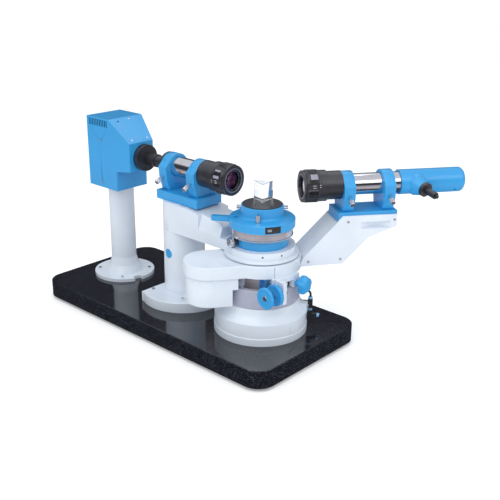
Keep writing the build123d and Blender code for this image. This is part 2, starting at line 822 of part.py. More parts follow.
def fine_drive_shaft():
    """Shaft through the bracket, with a collar behind it."""
    start = outer_disc_station + 1
    end = bracket_station + bracket_thickness
    shaft = Pos(0, 0, start) * Cylinder(drive_shaft_radius, end + 10 - start, align=BOTTOM)
    stop = Pos(0, 0, end + turning_gap) * Cylinder(9, 8, align=BOTTOM)
    return drive_seat() * (shaft + stop)


def drive_disc(station, radius, thickness):
    wheel = Pos(0, 0, station) * Cylinder(radius, thickness, align=BOTTOM)
    wheel = chamfer(wheel.edges().filter_by(GeomType.CIRCLE), 1.2)
    bore_start = max(station, outer_disc_station + 1) - seat_gap
    return wheel - Pos(0, 0, bore_start) * Cylinder(drive_shaft_radius + seat_gap, thickness + 2, align=BOTTOM)


def fine_drive_discs():
    outer = drive_disc(outer_disc_station, outer_disc_radius, outer_disc_thickness)
    inner = drive_disc(inner_disc_station, inner_disc_radius, inner_disc_thickness)
    return group([drive_seat() * outer, drive_seat() * inner])


def arm_clamp_knob():
    """Star knob on a sleeve, its screw reaching the drum's rotor through the bracket."""
    star = Pos(0, 0, star_start) * Cylinder(star_radius, star_thickness, align=BOTTOM)
    for i in range(star_lobes):
        turn = Rot(0, 0, 360 / star_lobes * (i + 0.5))
        star = star - turn * Pos(star_radius + 6, 0, star_start - 1) * Cylinder(
            11.0, star_thickness + 2, align=BOTTOM)
    shelf_end = rotor_radius + 15 + turning_gap
    hub = Pos(0, 0, shelf_end) * Cylinder(9.5, star_start + 1 - shelf_end, align=BOTTOM)
    tip = rotor_radius + curved_gap
    shank = Pos(0, 0, tip) * Cylinder(clamp_shank_radius, star_start - tip, align=BOTTOM)
    return clamp_seat() * (star + hub + shank)


# ---------------------------------------------------------------- stage and prism table
def stage_disc():
    """Fixed lower part of the prism table, on the bridge's ring."""
    body = collar(stage_disc_radius, table_spindle_radius + running_gap, ring_top, stage_disc_top)
    bore = radial(clamp_knob_azimuth, 55, clamp_knob_height) * Cylinder(
        3.5 + running_gap, 40, align=BOTTOM)
    return body - bore


def graduated_ring():
    """Scale ring with a bright lower lip."""
    points = [(20, stage_disc_top), (scale_radius, stage_disc_top), (scale_radius, stage_disc_top + 3),
              (scale_radius - 1.5, stage_disc_top + 4), (scale_radius - 1.5, scale_top), (20, scale_top)]
    return turned(points)


def table_window_cut(clearance):
    """Sector of the table's rim that the index window fills."""
    inner = table_radius - window_depth - clearance
    low = table_bottom + 2 - clearance
    body = collar(table_radius + 0.1, inner, low, low + window_height + 2 * clearance)
    spread = [window_start, window_start / 2 + window_end / 2, window_end]
    face = make_face(Polyline((0, 0, 0), *[
        (200 * math.cos(math.radians(a)), 200 * math.sin(math.radians(a)), 0) for a in spread], close=True).edges())
    return body & (Pos(0, 0, table_bottom) * extrude(face, amount=window_height + 4, dir=(0, 0, 1)))


def lever_block():
    low = table_bottom + 3
    arm = block((table_radius - 12, lever_reach - lever_width / 2),
                (-lever_width / 2, lever_width / 2), (low, low + lever_height))
    tip = disc(lever_width / 2, low, low + lever_height, lever_reach - lever_width / 2)
    return Rot(0, 0, lever_azimuth) * (arm + tip)


sight_azimuth = -126.0
sight_reach = 70.0
post_azimuth = -58.0
post_reach = 66.0
post_height = 22.0


def table_flange():
    """Turning part of the table: rim with its lever, sloping shoulder and neck up to the plate."""
    rim_top = table_bottom + table_rim_height
    seat = table_top - table_plate_thickness
    lines = Polyline((table_spindle_radius, 0, table_bottom), (table_radius, 0, table_bottom),
                     (table_radius, 0, rim_top), (table_radius - 2, 0, rim_top + 2),
                     (table_neck_radius + 8, 0, rim_top + 5))
    lines = lines + ThreePointArc((table_neck_radius + 8, 0, rim_top + 5),
                                  (table_neck_radius + 2.4, 0, rim_top + 8),
                                  (table_neck_radius, 0, rim_top + 14))
    lines = lines + Polyline((table_neck_radius, 0, rim_top + 14), (table_neck_radius, 0, table_top - 3),
                             (table_neck_radius - 1, 0, table_top - 2), (table_neck_radius - 3, 0, table_top - 2),
                             (table_neck_radius - 3, 0, seat), (table_spindle_radius, 0, seat),
                             (table_spindle_radius, 0, table_bottom))
    body = revolve(make_face(lines.edges()), Axis.Z)
    sight = Rot(0, 0, sight_azimuth) * disc(6.5, rim_top - 8, rim_top + 20, sight_reach)
    body = body + lever_block() - table_window_cut(0.05) - sight
    side_holes = [seat_at * screw_hole(3.0, 8) for seat_at in table_screw_seats()]
    spot_face = post_seat() * Cylinder(6.5 + seat_gap, post_height + 20, align=BOTTOM)
    return body - side_holes - spot_face - post_seat() * screw_hole(6.0, 12)


def post_seat():
    return Rot(0, 0, post_azimuth) * Pos(post_reach, 0, table_bottom + table_rim_height + 3)


def table_screw_seats():
    """Side screws that centre the plate in the neck, in two pairs."""
    return [radial(a, table_neck_radius, table_top - 10) for a in (34, 50, 214, 230)]


def table_screws():
    """Chrome side screws and the knurled post screw on the shoulder."""
    side = [seat * cap_screw(3.0, 12.0, 6.0) for seat in table_screw_seats()]
    post = Cylinder(6.5, post_height, align=BOTTOM) + Pos(0, 0, -9) * Cylinder(3.2, 10, align=BOTTOM)
    socket = Pos(0, 0, post_height - 4) * extrude(RegularPolygon(3.2, 6), amount=6)
    return group(side + [post_seat() * (post - socket)])


def table_plate():
    return disc(table_neck_radius - 3 - seat_gap, table_top - table_plate_thickness, table_top)


def table_spindle():
    return disc(table_spindle_radius, bridge_bottom + 3, table_top - table_plate_thickness)


def prism():
    """Equilateral glass prism, one upright edge at the middle of the table."""
    reach = prism_side * math.cos(math.radians(30))
    half = prism_side / 2
    corners = [(0, 0, 0), (reach, -half, 0), (reach, half, 0)]
    face = make_face(Polyline(*corners, close=True).edges())
    body = extrude(face, amount=prism_height, dir=(0, 0, 1))
    return Rot(0, 0, prism_azimuth) * Pos(-3, 0, table_top) * body


def table_clamp_collar():
    return radial(clamp_knob_azimuth, stage_disc_radius + curved_gap, clamp_knob_height) * (
        Cylinder(9, 12, align=BOTTOM) - Cylinder(3.5 + seat_gap, 40))


def table_clamp_knob():
    """Knurled knob that locks the table's spindle through the fixed disc."""
    head = Pos(0, 0, 13) * Cylinder(clamp_knob_radius, 14, align=BOTTOM)
    head = chamfer(head.edges().filter_by(GeomType.CIRCLE), 1.2)
    shank = Pos(0, 0, -14) * Cylinder(3.5, 28, align=BOTTOM)
    return radial(clamp_knob_azimuth, stage_disc_radius, clamp_knob_height) * (head + shank)


# ---------------------------------------------------------------- fasteners
def frame_screws():
    """Cap screws in the two flanges, the lamp house and the air line's boss."""
    seats = lamp_screw_seats() + column_screw_seats()
    solids = [seat * cap_screw(depth=lamp_flange_thickness - 0.5) for seat in seats]
    small = [seat * cap_screw(house_screw_head, 2.0, sheet) for seat in house_screw_seats()]
    boss = boss_seat() * cap_screw(4.0, 4.0, 7.0)
    return group(solids + small + [boss])


def arm_side_screws():
    return group(seat * cap_screw(side_screw_head, 1.6, side_plate_thickness - 0.5) for seat in side_screw_seats())


# ---------------------------------------------------------------- assembly
on_arm = Rot(0, 0, arm_angle)
on_collimator = Rot(0, 0, 180)
rear_end = yoke_stations[1] + yoke_thickness

fixed_nodes = {
    "granite_slab": granite_slab(),
    "rubber_feet": rubber_feet(),
    "lamp_column": lamp_column(),
    "lamp_base_plate": lamp_base_plate(),
    "lamp_housing": lamp_housing(),
    "lamp_socket": lamp_socket(),
    "lamp_bulb": lamp_bulb(),
    "lamp_port_flange": lamp_port_flange(),
    "condenser_tube": condenser_tube(),
    "condenser_lens": condenser_lens(),
    "collimator_flange": collimator_flange(),
    "collimator_column": collimator_column(),
    "bridge_arm": bridge_arm(),
    "frame_screws": frame_screws(),
    "goniometer_base": goniometer_base(),
    "goniometer_drum": goniometer_drum(),
    "spindle": spindle(),
    "air_fittings": air_fittings(),
    "air_collars": air_collars(),
    "stage_disc": stage_disc(),
    "graduated_ring": graduated_ring(),
    "table_clamp_collar": table_clamp_collar(),
    "table_clamp_knob": table_clamp_knob(),
    "table_flange": table_flange(),
    "index_window": table_window_cut(0),
    "table_screws": table_screws(),
    "table_plate": table_plate(),
    "table_spindle": table_spindle(),
    "prism": prism(),
}
collimator_nodes = {
    "collimator_cradle": cradle(arm_half_width),
    "collimator_yokes": group(yoke(station, 1) for station in yoke_stations),
    "collimator_front_clamp": clamp_screw(yoke_stations[0], 1),
    "collimator_rear_clamp": clamp_screw(yoke_stations[1], 1),
    "collimator_tube": steel_tube(rear_end + 14),
    "slit_unit": slit_unit(),
    "collimator_barrel": lens_barrel(),
    "collimator_focus_ring": focus_ring(),
    "collimator_objective": objective_lens(),
}
arm_nodes = {
    "arm_hub": arm_hub(),
    "rotor_ring": rotor_ring(),
    "drive_box": drive_box(),
    "counterweight": counterweight(),
    "arm_frame": arm_frame(),
    "arm_side_plates": arm_side_plates(),
    "arm_side_screws": arm_side_screws(),
    "telescope_cradle": cradle(arm_half_width - side_plate_thickness - seat_gap),
    "telescope_yokes": group(yoke(station, -1) for station in yoke_stations),
    "telescope_front_clamp": clamp_screw(yoke_stations[0], -1),
    "telescope_rear_clamp": clamp_screw(yoke_stations[1], -1),
    "telescope_tube": steel_tube(head_start + 24),
    "telescope_barrel": lens_barrel(),
    "telescope_focus_ring": focus_ring(),
    "telescope_objective": objective_lens(),
    "camera_head": camera_head(),
    "light_connector": light_connector(),
    "image_sensor": image_sensor(),
    "drive_bracket": drive_bracket(),
    "fine_drive_shaft": fine_drive_shaft(),
    "fine_drive_discs": fine_drive_discs(),
    "arm_clamp_knob": arm_clamp_knob(),
}
nodes = dict(fixed_nodes)
nodes.update({name: on_collimator * shape for name, shape in collimator_nodes.items()})
nodes.update({name: on_arm * shape for name, shape in arm_nodes.items()})

# The whole instrument is moved so that the middle of its box, on the feet, is the origin.
boxes = [shape.bounding_box() for shape in nodes.values()]
x_middle = (min(b.min.X for b in boxes) + max(b.max.X for b in boxes)) / 2
y_middle = (min(b.min.Y for b in boxes) + max(b.max.Y for b in boxes)) / 2
onto_feet = Pos(-x_middle, -y_middle, slab_height + foot_height)

for name, shape in nodes.items():
    export_step(onto_feet * shape, f"parts/{name}.step")
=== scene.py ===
"""Looks of a prism spectrometer on a granite slab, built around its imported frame.

Every size is in metres unless a name says mm, and every place is read from the frame: a joint's
axis, a node's box or the slab's top.
"""

import json
import math

import bpy
import numpy as np
from bpy.props import FloatProperty, FloatVectorProperty, IntProperty, PointerProperty
from mathutils import Matrix, Vector


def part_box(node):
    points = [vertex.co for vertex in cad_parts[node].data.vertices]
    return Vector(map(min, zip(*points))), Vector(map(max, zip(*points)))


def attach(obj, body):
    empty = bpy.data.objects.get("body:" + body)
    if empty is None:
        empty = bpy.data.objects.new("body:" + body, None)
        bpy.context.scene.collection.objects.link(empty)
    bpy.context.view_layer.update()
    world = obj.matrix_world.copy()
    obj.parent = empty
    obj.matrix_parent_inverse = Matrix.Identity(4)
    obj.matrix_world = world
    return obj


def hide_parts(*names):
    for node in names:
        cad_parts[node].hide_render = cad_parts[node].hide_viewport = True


bl_info = {
    "name": "Prism spectrometer",
    "version": (1, 0, 0),
    "blender": (4, 5, 0),
    "location": "View3D > Sidebar > Spectrometer",
    "description": "Builds the knobs, lens fronts, marks, finishes and stage of a prism spectrometer",
    "category": "Object",
}

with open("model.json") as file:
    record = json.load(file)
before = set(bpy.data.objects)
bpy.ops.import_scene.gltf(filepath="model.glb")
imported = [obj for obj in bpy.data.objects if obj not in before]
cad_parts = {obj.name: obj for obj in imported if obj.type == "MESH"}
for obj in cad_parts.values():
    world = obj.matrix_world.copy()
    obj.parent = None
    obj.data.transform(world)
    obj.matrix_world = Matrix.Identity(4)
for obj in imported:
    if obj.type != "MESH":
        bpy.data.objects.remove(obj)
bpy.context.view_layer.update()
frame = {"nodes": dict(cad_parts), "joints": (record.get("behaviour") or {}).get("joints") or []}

mm = 0.001
whole_turn = 2 * math.pi


# ---------------------------------------------------------------- places read from the frame
joints = {joint["name"]: joint for joint in frame["joints"]}
turning_axis = Vector(joints["arm_turn"]["pos_m"])
slab_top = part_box("granite_slab")[1].z
axis_foot = Vector((turning_axis.x, turning_axis.y, slab_top))
upwards = Vector((0, 0, 1))


def seat_of(joint_name):
    """A joint's own axes as a matrix: Z along the joint, and X upwards, or along the slab if Z is upright."""
    joint = joints[joint_name]
    along = Vector(joint["axis"]).normalized()
    guide = Vector((1, 0, 0)) if abs(along.z) > 0.99 else upwards
    up = (guide - along * guide.dot(along)).normalized()
    turn = Matrix((up, along.cross(up), along)).transposed()
    return Matrix.Translation(Vector(joint["pos_m"])) @ turn.to_4x4()


def bench_of(joint_name):
    """Seat on the goniometer's axis at the optical height: Z points away from it along the tube, X up."""
    joint = joints[joint_name]
    outwards = -Vector(joint["axis"]).normalized()
    turn = Matrix((upwards, outwards.cross(upwards), outwards)).transposed()
    origin = Vector((axis_foot.x, axis_foot.y, joint["pos_m"][2]))
    return Matrix.Translation(origin) @ turn.to_4x4()


def upright(azimuth, height=0.0):
    """Seat on the goniometer's axis: Z up, and X turned to the azimuth in degrees."""
    place = Matrix.Translation(axis_foot + Vector((0, 0, height)))
    return place @ Matrix.Rotation(math.radians(azimuth), 4, "Z")


def outwards_from(azimuth, reach, height):
    """Seat on a cylinder round the goniometer's axis: Z points out of its wall, X up."""
    angle = math.radians(azimuth)
    out = Vector((math.cos(angle), math.sin(angle), 0))
    turn = Matrix((upwards, out.cross(upwards), out)).transposed()
    return Matrix.Translation(axis_foot + out * reach + upwards * height) @ turn.to_4x4()


# ---------------------------------------------------------------- surfaces
def rounded(points, radius, steps=3, closed=True):
    """An outline with its corners rounded: each corner is a parabola from a point on one side to a point
    on the other, both the radius away or 0.45 of the side, so that short sides keep a straight part."""
    points = np.array(points, float)
    before, after = np.roll(points, 1, 0), np.roll(points, -1, 0)
    share = np.linspace(0, 1, steps + 1)[None, :, None]

    def towards(other):
        length = np.linalg.norm(other - points, axis=1, keepdims=True)
        return points + (other - points) * np.minimum(radius / np.maximum(length, 1e-12), 0.45)

    first, last = towards(before)[:, None], towards(after)[:, None]
    bends = (1 - share) ** 2 * first + 2 * share * (1 - share) * points[:, None] + share ** 2 * last
    if closed:
        return bends.reshape(-1, 2)
    return np.concatenate([points[:1], bends[1:-1].reshape(-1, 2), points[-1:]])


def turned(profile, steps=96, start=0.0, sweep=whole_turn, wave=None):
    """A surface of turning. Each profile point (radius, station) goes round Z: x is the radius times the
    cosine of the angle, y its sine, z the station. wave(angle, station, radius) is added to the radius.
    A profile that begins and ends on the axis closes to a point there, and any other is a closed loop.
    A part turn is closed by two end faces."""
    profile = np.array(profile, float)
    poled = profile[0, 0] < 1e-9
    ring = profile[1:-1] if poled else profile
    whole = sweep > whole_turn - 1e-9
    angle = start + sweep * np.arange(steps if whole else steps + 1)[:, None] / steps
    radius = ring[None, :, 0] + np.zeros_like(angle)
    station = ring[None, :, 1] + np.zeros_like(angle)
    if wave is not None:
        radius = radius + wave(angle, station, radius)
    points = np.stack([radius * np.cos(angle), radius * np.sin(angle), station], -1)
    index = np.arange(points.shape[0] * points.shape[1]).reshape(points.shape[:2])
    here, there = (index, np.roll(index, -1, 0)) if whole else (index[:-1], index[1:])
    if poled:
        quads = np.stack([here[:, :-1], there[:, :-1], there[:, 1:], here[:, 1:]], -1)
    else:
        quads = np.stack([here, there, np.roll(there, -1, 1), np.roll(here, -1, 1)], -1)
    faces = quads.reshape(-1, 4).tolist()
    points = points.reshape(-1, 3)
    if poled:
        low, high = len(points), len(points) + 1
        points = np.vstack([points, [[0, 0, profile[0, 1]], [0, 0, profile[-1, 1]]]])
        ends = np.full(len(here), low), np.full(len(here), high)
        faces += np.stack([ends[0], there[:, 0], here[:, 0]], -1).tolist()
        faces += np.stack([ends[1], here[:, -1], there[:, -1]], -1).tolist()
    if not whole:
        faces += [index[0].tolist(), index[-1][::-1].tolist()]
    return points, faces


def bars(places, size):
    """Small blocks of one size, one for each row of places (x, y, z, turn): the eight corners of a block
    are turned about Z and moved to each place."""
    corners = np.array([[x, y, z] for x in (-0.5, 0.5) for y in (-0.5, 0.5) for z in (-0.5, 0.5)]) * size
    places = np.atleast_2d(np.array(places, float))
    cos, sin = np.cos(places[:, 3])[:, None], np.sin(places[:, 3])[:, None]
    x = corners[None, :, 0] * cos - corners[None, :, 1] * sin + places[:, None, 0]
    y = corners[None, :, 0] * sin + corners[None, :, 1] * cos + places[:, None, 1]
    z = corners[None, :, 2] + places[:, None, 2]
    block = np.array([[0, 1, 3, 2], [4, 6, 7, 5], [0, 4, 5, 1], [2, 3, 7, 6], [0, 2, 6, 4], [1, 5, 7, 3]])
    faces = (block[None] + 8 * np.arange(len(places))[:, None, None]).reshape(-1, 4)
    return np.stack([x, y, z], -1).reshape(-1, 3), faces.tolist()


def around(turn, reach, height):
    """Places (x, y, z, turn) for bars on a circle round Z: one for each turn, at one reach and height."""
    return np.stack([reach * np.cos(turn), reach * np.sin(turn), np.full(len(turn), height), turn], -1)


def joined(*surfaces):
    """Several closed surfaces as one: their points in a row, with each one's faces counted on."""
    points, faces, count = [], [], 0
    for more_points, more_faces in surfaces:
        points.append(more_points)
        faces += [[i + count for i in face] for face in more_faces]
        count += len(more_points)
    return np.vstack(points), faces


def moved(surface, seat):
    """A surface taken from a seat's own axes into the axes that the seat is given in."""
    points, faces = surface
    return points @ np.array(seat.to_3x3()).T + np.array(seat.translation), faces


def piece(name, surface, seat, body, finish, sharp=35.0):
    """One finished piece at the origin, its place in its mesh. Its faces are turned round if the sum of
    each face's height times its area, the enclosed volume, comes out negative."""
    points, faces = moved(surface, seat)
    mesh = bpy.data.meshes.new(name)
    mesh.from_pydata(points.tolist(), [], faces)
    mesh.update()
    measures = {"center": np.zeros(len(faces) * 3), "normal": np.zeros(len(faces) * 3),
                "area": np.zeros(len(faces))}
    for measure, values in measures.items():
        mesh.polygons.foreach_get(measure, values)
    heights = (measures["center"].reshape(-1, 3) - points.mean(0)) * measures["normal"].reshape(-1, 3)
    if np.sum(heights * measures["area"][:, None]) < 0:
        mesh.flip_normals()
    mesh.shade_smooth()
    mesh.set_sharp_from_angle(angle=math.radians(sharp))
    mesh.materials.append(finish)
    shown = bpy.data.objects.new(name, mesh)
    bpy.context.scene.collection.objects.link(shown)
    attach(shown, body)
    return shown


# ---------------------------------------------------------------- finishes
def new_finish(name, colour, roughness, **sockets):
    """A material with its constants on the shader's own sockets, and its Object coordinates ready."""
    finish = bpy.data.materials.new(name)
    finish.use_nodes = True
    tree = finish.node_tree
    shader = tree.nodes["Principled BSDF"]
    shader.inputs["Base Color"].default_value = (*colour, 1)
    shader.inputs["Roughness"].default_value = roughness
    for socket, value in sockets.items():
        shader.inputs[socket.replace("_", " ")].default_value = value
    coordinates = tree.nodes.new("ShaderNodeTexCoord").outputs["Object"]
    return finish, tree, shader, coordinates


def node(tree, kind, inputs, **values):
    """A node whose inputs, by name or number, are values or links, and whose settings are the rest."""
    made = tree.nodes.new(kind)
    for key, value in values.items():
        setattr(made, key, value)
    for key, value in inputs.items():
        if isinstance(value, bpy.types.NodeSocket):
            tree.links.new(value, made.inputs[key])
        else:
            made.inputs[key].default_value = value
    return made


def stretched(tree, coordinates, scale, turn=(0, 0, 0)):
    """Coordinates turned and then stretched, for a pattern that runs one way."""
    about = node(tree, "ShaderNodeMapping", {"Vector": coordinates, "Rotation": turn})
    return node(tree, "ShaderNodeMapping", {"Vector": about.outputs[0], "Scale": scale}).outputs[0]


def mixed_colours(tree, factor, first, second):
    """The first colour where the factor is 0, the second where it is 1."""
    made = node(tree, "ShaderNodeMix", {"Factor": factor, 6: first, 7: second}, data_type="RGBA")
    return made.outputs[2]


def noise(tree, coordinates, scale, detail=3.0):
    made = node(tree, "ShaderNodeTexNoise", {"Vector": coordinates, "Scale": scale, "Detail": detail})
    return made.outputs["Fac"]


def ramp(tree, factor, stops):
    """A colour or grey for each place between the stops (position, colour)."""
    made = node(tree, "ShaderNodeValToRGB", {"Fac": factor})
    elements = made.color_ramp.elements
    while len(elements) < len(stops):
        elements.new(0.5)
    for element, (position, colour) in zip(elements, stops):
        element.position = position
        element.color = (*colour, 1) if isinstance(colour, tuple) else (colour,) * 3 + (1,)
    return made.outputs["Color"]


def shade(colour, factor):
    return tuple(min(1.0, channel * factor) for channel in colour)


def bump(tree, shader, height, strength, distance):
    made = node(tree, "ShaderNodeBump", {"Height": height, "Strength": strength, "Distance": distance})
    tree.links.new(made.outputs["Normal"], shader.inputs["Normal"])


def link(tree, output, shader, socket):
    tree.links.new(output, shader.inputs[socket])


def vary_shade(tree, shader, pattern, colour, least, most, start=0.3, end=0.7):
    """The base colour goes from its least to its most shade where the pattern goes from start to end."""
    link(tree, ramp(tree, pattern, [(start, shade(colour, least)), (end, shade(colour, most))]), shader,
         "Base Color")


def vary_roughness(tree, shader, pattern, least, most, start=0.3, end=0.7):
    """The roughness goes from its least to its most where the pattern goes from start to end."""
    link(tree, ramp(tree, pattern, [(start, least), (end, most)]), shader, "Roughness")


def paint(name, colour, roughness):
    """Stoved satin paint: a faint orange peel, slow changes of shade and a thin clear coat."""
    finish, tree, shader, place = new_finish(name, colour, roughness, Coat_Weight=0.35, Coat_Roughness=0.12)
    vary_shade(tree, shader, noise(tree, place, 9.0, 2.0), colour, 0.95, 1.03)
    vary_roughness(tree, shader, noise(tree, place, 60.0, 4.0), roughness * 0.85, roughness * 1.2)
    bump(tree, shader, noise(tree, place, 700.0, 2.0), 0.10, 0.0004)
    return finish


def polished_granite(colour, fleck):
    """Black granite: small pale and grey crystals in a dark ground, clouded, with a polished face."""
    finish, tree, shader, place = new_finish("polished_black_granite", colour, 0.09, Coat_Weight=0.5,
                                             Coat_Roughness=0.04)
    crystals = node(tree, "ShaderNodeTexVoronoi", {"Vector": place, "Scale": 620.0}).outputs["Color"]
    bright = ramp(tree, node(tree, "ShaderNodeSeparateColor", {"Color": crystals}).outputs[0],
                  [(0.0, 0.0), (0.72, 0.0), (0.90, 0.25), (1.0, 0.8)])
    cloud = noise(tree, place, 55.0, 6.0)
    ground = ramp(tree, cloud, [(0.30, shade(colour, 0.55)), (0.52, colour), (0.75, shade(colour, 2.1))])
    link(tree, mixed_colours(tree, bright, ground, (*fleck, 1)), shader, "Base Color")
    vary_roughness(tree, shader, noise(tree, place, 900.0, 2.0), 0.06, 0.16, end=0.8)
    bump(tree, shader, noise(tree, place, 1200.0, 2.0), 0.06, 0.0002)
    return finish


def turned_steel(name, colour, roughness, along=(0, 0, 1)):
    """Ground steel: fine lines round the axis, from a noise pressed flat across it."""
    finish, tree, shader, place = new_finish(name, colour, roughness, Metallic=1.0)
    azimuth = math.atan2(along[1], along[0])
    turn = (0, 0, -azimuth) if abs(along[2]) < 0.5 else (0, math.radians(90), 0)
    lines = noise(tree, stretched(tree, place, (1.0, 0.02, 0.02), turn), 2200.0, 2.0)
    vary_roughness(tree, shader, lines, roughness * 0.7, roughness * 1.7)
    vary_shade(tree, shader, noise(tree, place, 26.0, 4.0), colour, 0.9, 1.05)
    bump(tree, shader, lines, 0.05, 0.0001)
    return finish


def black_anodised(colour, roughness):
    """Anodised aluminium: a matt grain with a faint sheen, a little paler where hands rub it."""
    finish, tree, shader, place = new_finish("black_anodised", colour, roughness, Specular_IOR_Level=0.9,
                                             Coat_Weight=0.3, Coat_Roughness=0.35)
    vary_shade(tree, shader, noise(tree, place, 38.0, 5.0), colour, 0.75, 1.5, start=0.35)
    vary_roughness(tree, shader, noise(tree, place, 300.0, 4.0), roughness * 0.85, roughness * 1.25)
    bump(tree, shader, noise(tree, place, 2600.0, 2.0), 0.12, 0.0002)
    return finish


def moulded(name, colour, roughness, grain=1500.0):
    """Moulded plastic or rubber: a spark-eroded grain and slow changes of shade."""
    finish, tree, shader, place = new_finish(name, colour, roughness)
    vary_shade(tree, shader, noise(tree, place, 45.0), colour, 0.85, 1.15)
    grained = noise(tree, place, grain)
    vary_roughness(tree, shader, grained, roughness * 0.9, roughness * 1.15)
    bump(tree, shader, grained, 0.18, 0.0003)
    return finish


def cast_metal(name, colour, roughness):
    """Sand-cast or bare metal: coarse pits over a fine grain."""
    finish, tree, shader, place = new_finish(name, colour, roughness, Metallic=1.0)
    coarse = noise(tree, place, 420.0, 6.0)
    vary_shade(tree, shader, coarse, colour, 0.8, 1.1)
    bump(tree, shader, coarse, 0.25, 0.0005)
    return finish


def circuit_board(colour):
    """Solder mask with paler tracks under it, from a pattern of bricks."""
    finish, tree, shader, place = new_finish("circuit_board", colour, 0.35)
    tracks = node(tree, "ShaderNodeTexBrick", {"Vector": place, "Scale": 260.0, "Color1": (*colour, 1),
                                              "Color2": (*shade(colour, 0.8), 1),
                                              "Mortar": (*shade(colour, 2.2), 1)})
    link(tree, tracks.outputs["Color"], shader, "Base Color")
    return finish


def coated_lens(colour):
    """Lens glass with a thin anti-reflection film, which gives its faint purple and green shine."""
    finish, tree, shader, place = new_finish("coated_lens_glass", colour, 0.02, IOR=1.62,
                                             Transmission_Weight=1.0, Thin_Film_Thickness=560.0,
                                             Thin_Film_IOR=1.38)
    vary_roughness(tree, shader, noise(tree, place, 800.0, 4.0), 0.0, 0.04, 0.4, 0.9)
    return finish


def clear_glass(colour):
    """Polished prism glass, with the faintest haze."""
    finish, tree, shader, place = new_finish("prism_glass", colour, 0.0, IOR=1.50, Transmission_Weight=1.0)
    vary_roughness(tree, shader, noise(tree, place, 90.0), 0.0, 0.03, 0.45, 0.9)
    return finish


finishes = {}


def make_finishes(colours):
    """One material for each of the record's slots, with a few more for single nodes."""
    arm_along = Vector(joints["telescope_focus_turn"]["axis"])
    finishes.update({
        "granite": polished_granite(tuple(colours.granite), tuple(colours.granite_fleck)),
        "white_paint": paint("cool_white_paint", tuple(colours.white_paint), 0.34),
        "blue_paint": paint("blue_paint", tuple(colours.blue_paint), 0.36),
        "grey_drum": paint("grey_drum_paint", tuple(colours.drum_paint), 0.30),
        "black_anodised": black_anodised(tuple(colours.black_anodised), 0.40),
        "black_plastic": moulded("black_moulding", tuple(colours.black_moulding), 0.42),
        "fitting_plastic": moulded("pale_blue_moulding", tuple(colours.pale_blue), 0.30),
        "foot_rubber": moulded("foot_rubber", (0.025, 0.025, 0.027), 0.70, 900.0),
        "steel": turned_steel("turned_steel", tuple(colours.steel), 0.13),
        "collimator_steel": turned_steel("ground_tube_steel", tuple(colours.steel), 0.07, (1, 0, 0)),
        "telescope_steel": turned_steel("ground_arm_tube_steel", tuple(colours.steel), 0.07, arm_along),
        "optical_glass": coated_lens((0.88, 0.86, 0.95)),
        "prism_glass": clear_glass((0.97, 0.985, 1.0)),
        "ground_glass": moulded("ground_glass", (0.80, 0.85, 0.90), 0.6, 3000.0),
        "bare_aluminium": cast_metal("bare_aluminium", (0.78, 0.79, 0.81), 0.30),
        "cast_weight": cast_metal("cast_weight", (0.25, 0.25, 0.26), 0.55),
        "circuit_board": circuit_board((0.03, 0.16, 0.07)),
        "bright_ring": turned_steel("bright_bezel_metal", (0.50, 0.50, 0.56), 0.26),
        "scale_pad": moulded("lilac_grey_pad", (0.30, 0.30, 0.38), 0.4, 2500.0),
        "mark_white": moulded("white_filled_marks", (0.80, 0.80, 0.84), 0.5, 2500.0),
        "mark_dark": moulded("dark_filled_marks", (0.03, 0.03, 0.04), 0.5, 2500.0),
    })


own_finish = {
    "collimator_tube": "collimator_steel", "telescope_tube": "telescope_steel", "prism": "prism_glass",
}
bevelled = {
    "lamp_housing": 0.8, "collimator_yokes": 1.0, "telescope_yokes": 1.0, "collimator_cradle": 1.0,
    "telescope_cradle": 1.0, "bridge_arm": 1.2, "drive_box": 0.9, "arm_side_plates": 0.6, "arm_frame": 0.9,
}


def dress_nodes():
    """Each CAD node gets its slot's finish, and the sharp-edged ones a small bevel after a weld."""
    for name, shown in frame["nodes"].items():
        slots = shown.data.materials
        for i, old in enumerate(slots):
            slots[i] = finishes[own_finish.get(name, old.name.split(".")[0])]
    for name, width in bevelled.items():
        shown = frame["nodes"][name]
        weld = shown.modifiers.new("weld", "WELD")
        weld.merge_threshold = 0.01 * mm
        bevel = shown.modifiers.new("bevel", "BEVEL")
        bevel.width = width * mm
        bevel.segments = 2
        bevel.limit_method = "ANGLE"
        bevel.angle_limit = math.radians(32)
        bevel.use_clamp_overlap = True
        bevel.harden_normals = True


# ---------------------------------------------------------------- settings
class SpectrometerSizes(bpy.types.PropertyGroup):
    """Sizes that a user would change."""

    grip_count: IntProperty(name="Grip ribs", description="Ribs round each focus ring", default=9, min=4)
    grip_depth: FloatProperty(name="Grip depth", description="Depth of the grooves between the ribs",
                              default=2.8 * mm, unit="LENGTH", subtype="DISTANCE")
    knurl_count: IntProperty(name="Knurls", description="Knurls round each clamp screw", default=30, min=8)
    knurl_depth: FloatProperty(name="Knurl depth", description="Depth of the knurls", default=0.45 * mm,
                               unit="LENGTH", subtype="DISTANCE")
    star_lobes: IntProperty(name="Star lobes", description="Lobes of the arm's clamp knob", default=5, min=3)
    scale_marks: IntProperty(name="Scale marks", description="Marks round the graduated ring", default=180)


